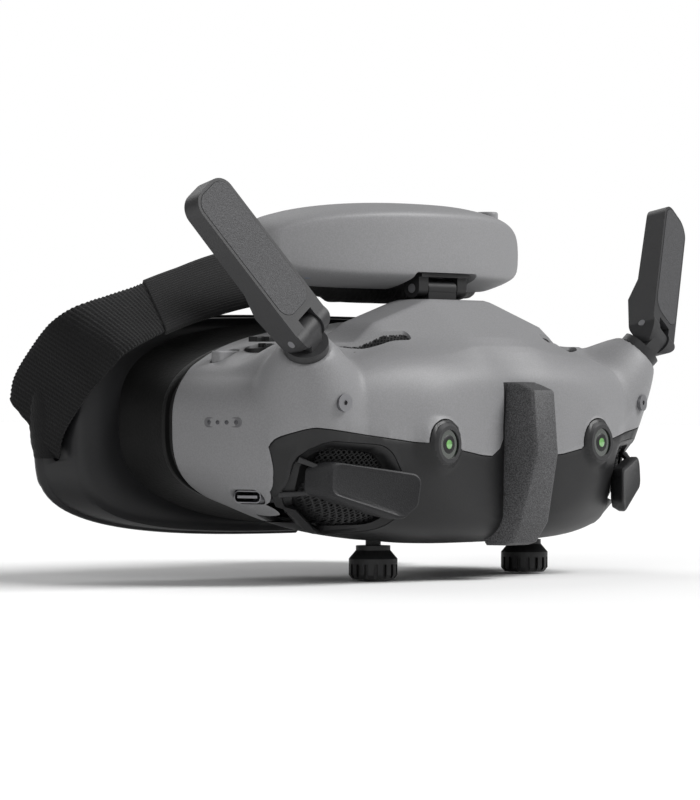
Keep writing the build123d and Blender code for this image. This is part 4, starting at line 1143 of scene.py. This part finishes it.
def build_status(tree):
    """Charge window on the wearer's right side: a shallow pill with four lamps."""
    _, cy, cz = middle_of("status_lens")

    def out(y, z, lift):
        """Point lifted off the casing's right side."""
        found = probe(tree, (-120, y, z), (1, 0, 0))
        return (found[0] - lift, y, z)
    half_length, half_height, straight_half = 5.6, 1.3, 4.3
    outline = rounded_rectangle(cy, cz, half_length, half_height, 1.25, 8)
    rings = []
    for inset, lift in ((0.0, -0.6), (0.0, 0.10), (0.2, 0.16), (0.36, 0.06), (0.9, 0.05)):
        scale = 1 - inset / half_height
        ring = []
        for y, z in outline:
            straight = np.clip(y - cy, -straight_half, straight_half)
            ring.append(out(cy + straight + (y - cy - straight) * scale, cz + (z - cz) * scale, lift))
        rings.append(ring)
    attach(loft("status_window", rings, STATUS, 30), "status", "status_lens")
    for index in range(4):
        y = cy + (index - 1.5) * 2.7
        rings = []
        for level, share in ((-0.4, 1.0), (0.1, 1.0), (0.2, 0.8), (0.24, 0.45)):
            rings.append([out(a, b, level) for a, b in circle(y, cz, 0.55 * share, 16)])
        attach(loft(f"status_lamp_{index + 1}", rings, GLASS_DOT, 40), "status")


# ------------------------------------------------------------------ floor, light and camera
def build_stage():
    """Pale floor, white surroundings and three soft suns."""
    floor_z = node_box("adjusting_knob_l")[0][2] * MM - 0.0005
    half = 6.0
    mesh = bpy.data.meshes.new("floor")
    corners = [(-half, -half), (half, -half), (half, half), (-half, half)]
    mesh.from_pydata([(x, y, floor_z) for x, y in corners], [], [(0, 1, 2, 3)])
    floor = bpy.data.objects.new("floor", mesh)
    bpy.context.scene.collection.objects.link(floor)
    material, tree, shader = new_material("pale_floor")
    tone = add_node(tree, "ShaderNodeTexNoise", in_Scale=3.0)
    shade_node = ramp(tree, tone.outputs["Fac"], 0.3, 0.7, (0.93, 0.93, 0.93), (0.96, 0.96, 0.96))
    tree.links.new(shade_node.outputs["Color"], shader.inputs["Base Color"])
    shader.inputs["Roughness"].default_value = 0.9
    mesh.materials.append(material)
    world = bpy.data.worlds.new("studio")
    world.use_nodes = True
    tree = world.node_tree
    back = tree.nodes["Background"]
    seen = add_node(tree, "ShaderNodeBackground")
    for node, strength in ((back, 0.20), (seen, 1.0)):
        node.inputs["Color"].default_value = (1, 1, 1, 1)
        node.inputs["Strength"].default_value = strength
    path = add_node(tree, "ShaderNodeLightPath")
    mix = add_node(tree, "ShaderNodeMixShader")
    tree.links.new(path.outputs["Is Camera Ray"], mix.inputs[0])
    tree.links.new(back.outputs[0], mix.inputs[1])
    tree.links.new(seen.outputs[0], mix.inputs[2])
    tree.links.new(mix.outputs[0], tree.nodes["World Output"].inputs["Surface"])
    bpy.context.scene.world = world
    # direction the light comes from, strength and spread of each soft sun
    suns = (("key", (0.50, -0.62, 0.66), 3.4, 30), ("fill", (-0.85, -0.30, 0.50), 0.65, 50),
            ("rim", (0.3, 0.8, 0.7), 0.8, 40))
    for name, place, strength, spread in suns:
        lamp = bpy.data.lights.new(name, "SUN")
        lamp.energy = strength
        lamp.angle = math.radians(spread)
        light = bpy.data.objects.new(name, lamp)
        light.rotation_euler = (-Vector(place)).to_track_quat("-Z", "Y").to_euler()
        bpy.context.scene.collection.objects.link(light)
    bpy.context.scene.view_settings.view_transform = "Standard"


def build_camera():
    """Long lens at eye level, in front and on the wearer's right."""
    azimuth = math.radians(51.0)
    ahead = Vector((math.sin(azimuth), math.cos(azimuth), 0))
    right = Vector((math.cos(azimuth), -math.sin(azimuth), 0))
    distance = 1.1
    aside = 0.04545
    target = Vector((0, -0.024, 0.037))
    data = bpy.data.cameras.new("camera")
    data.lens = 188.1
    data.shift_y = 2.7 / 800
    camera = bpy.data.objects.new("camera", data)
    camera.location = target - ahead * distance - right * aside
    camera.rotation_euler = ahead.to_track_quat("-Z", "Y").to_euler()
    bpy.context.scene.collection.objects.link(camera)
    bpy.context.scene.camera = camera


casing_tree = build_casing()
build_vents(casing_tree)
build_fins()
build_strut()
build_irises()
build_grilles(casing_tree)
build_status(casing_tree)
build_gasket()
build_shroud()
build_frame()
build_face_cushion()
build_pad()
build_strap()
build_stage()
build_camera()
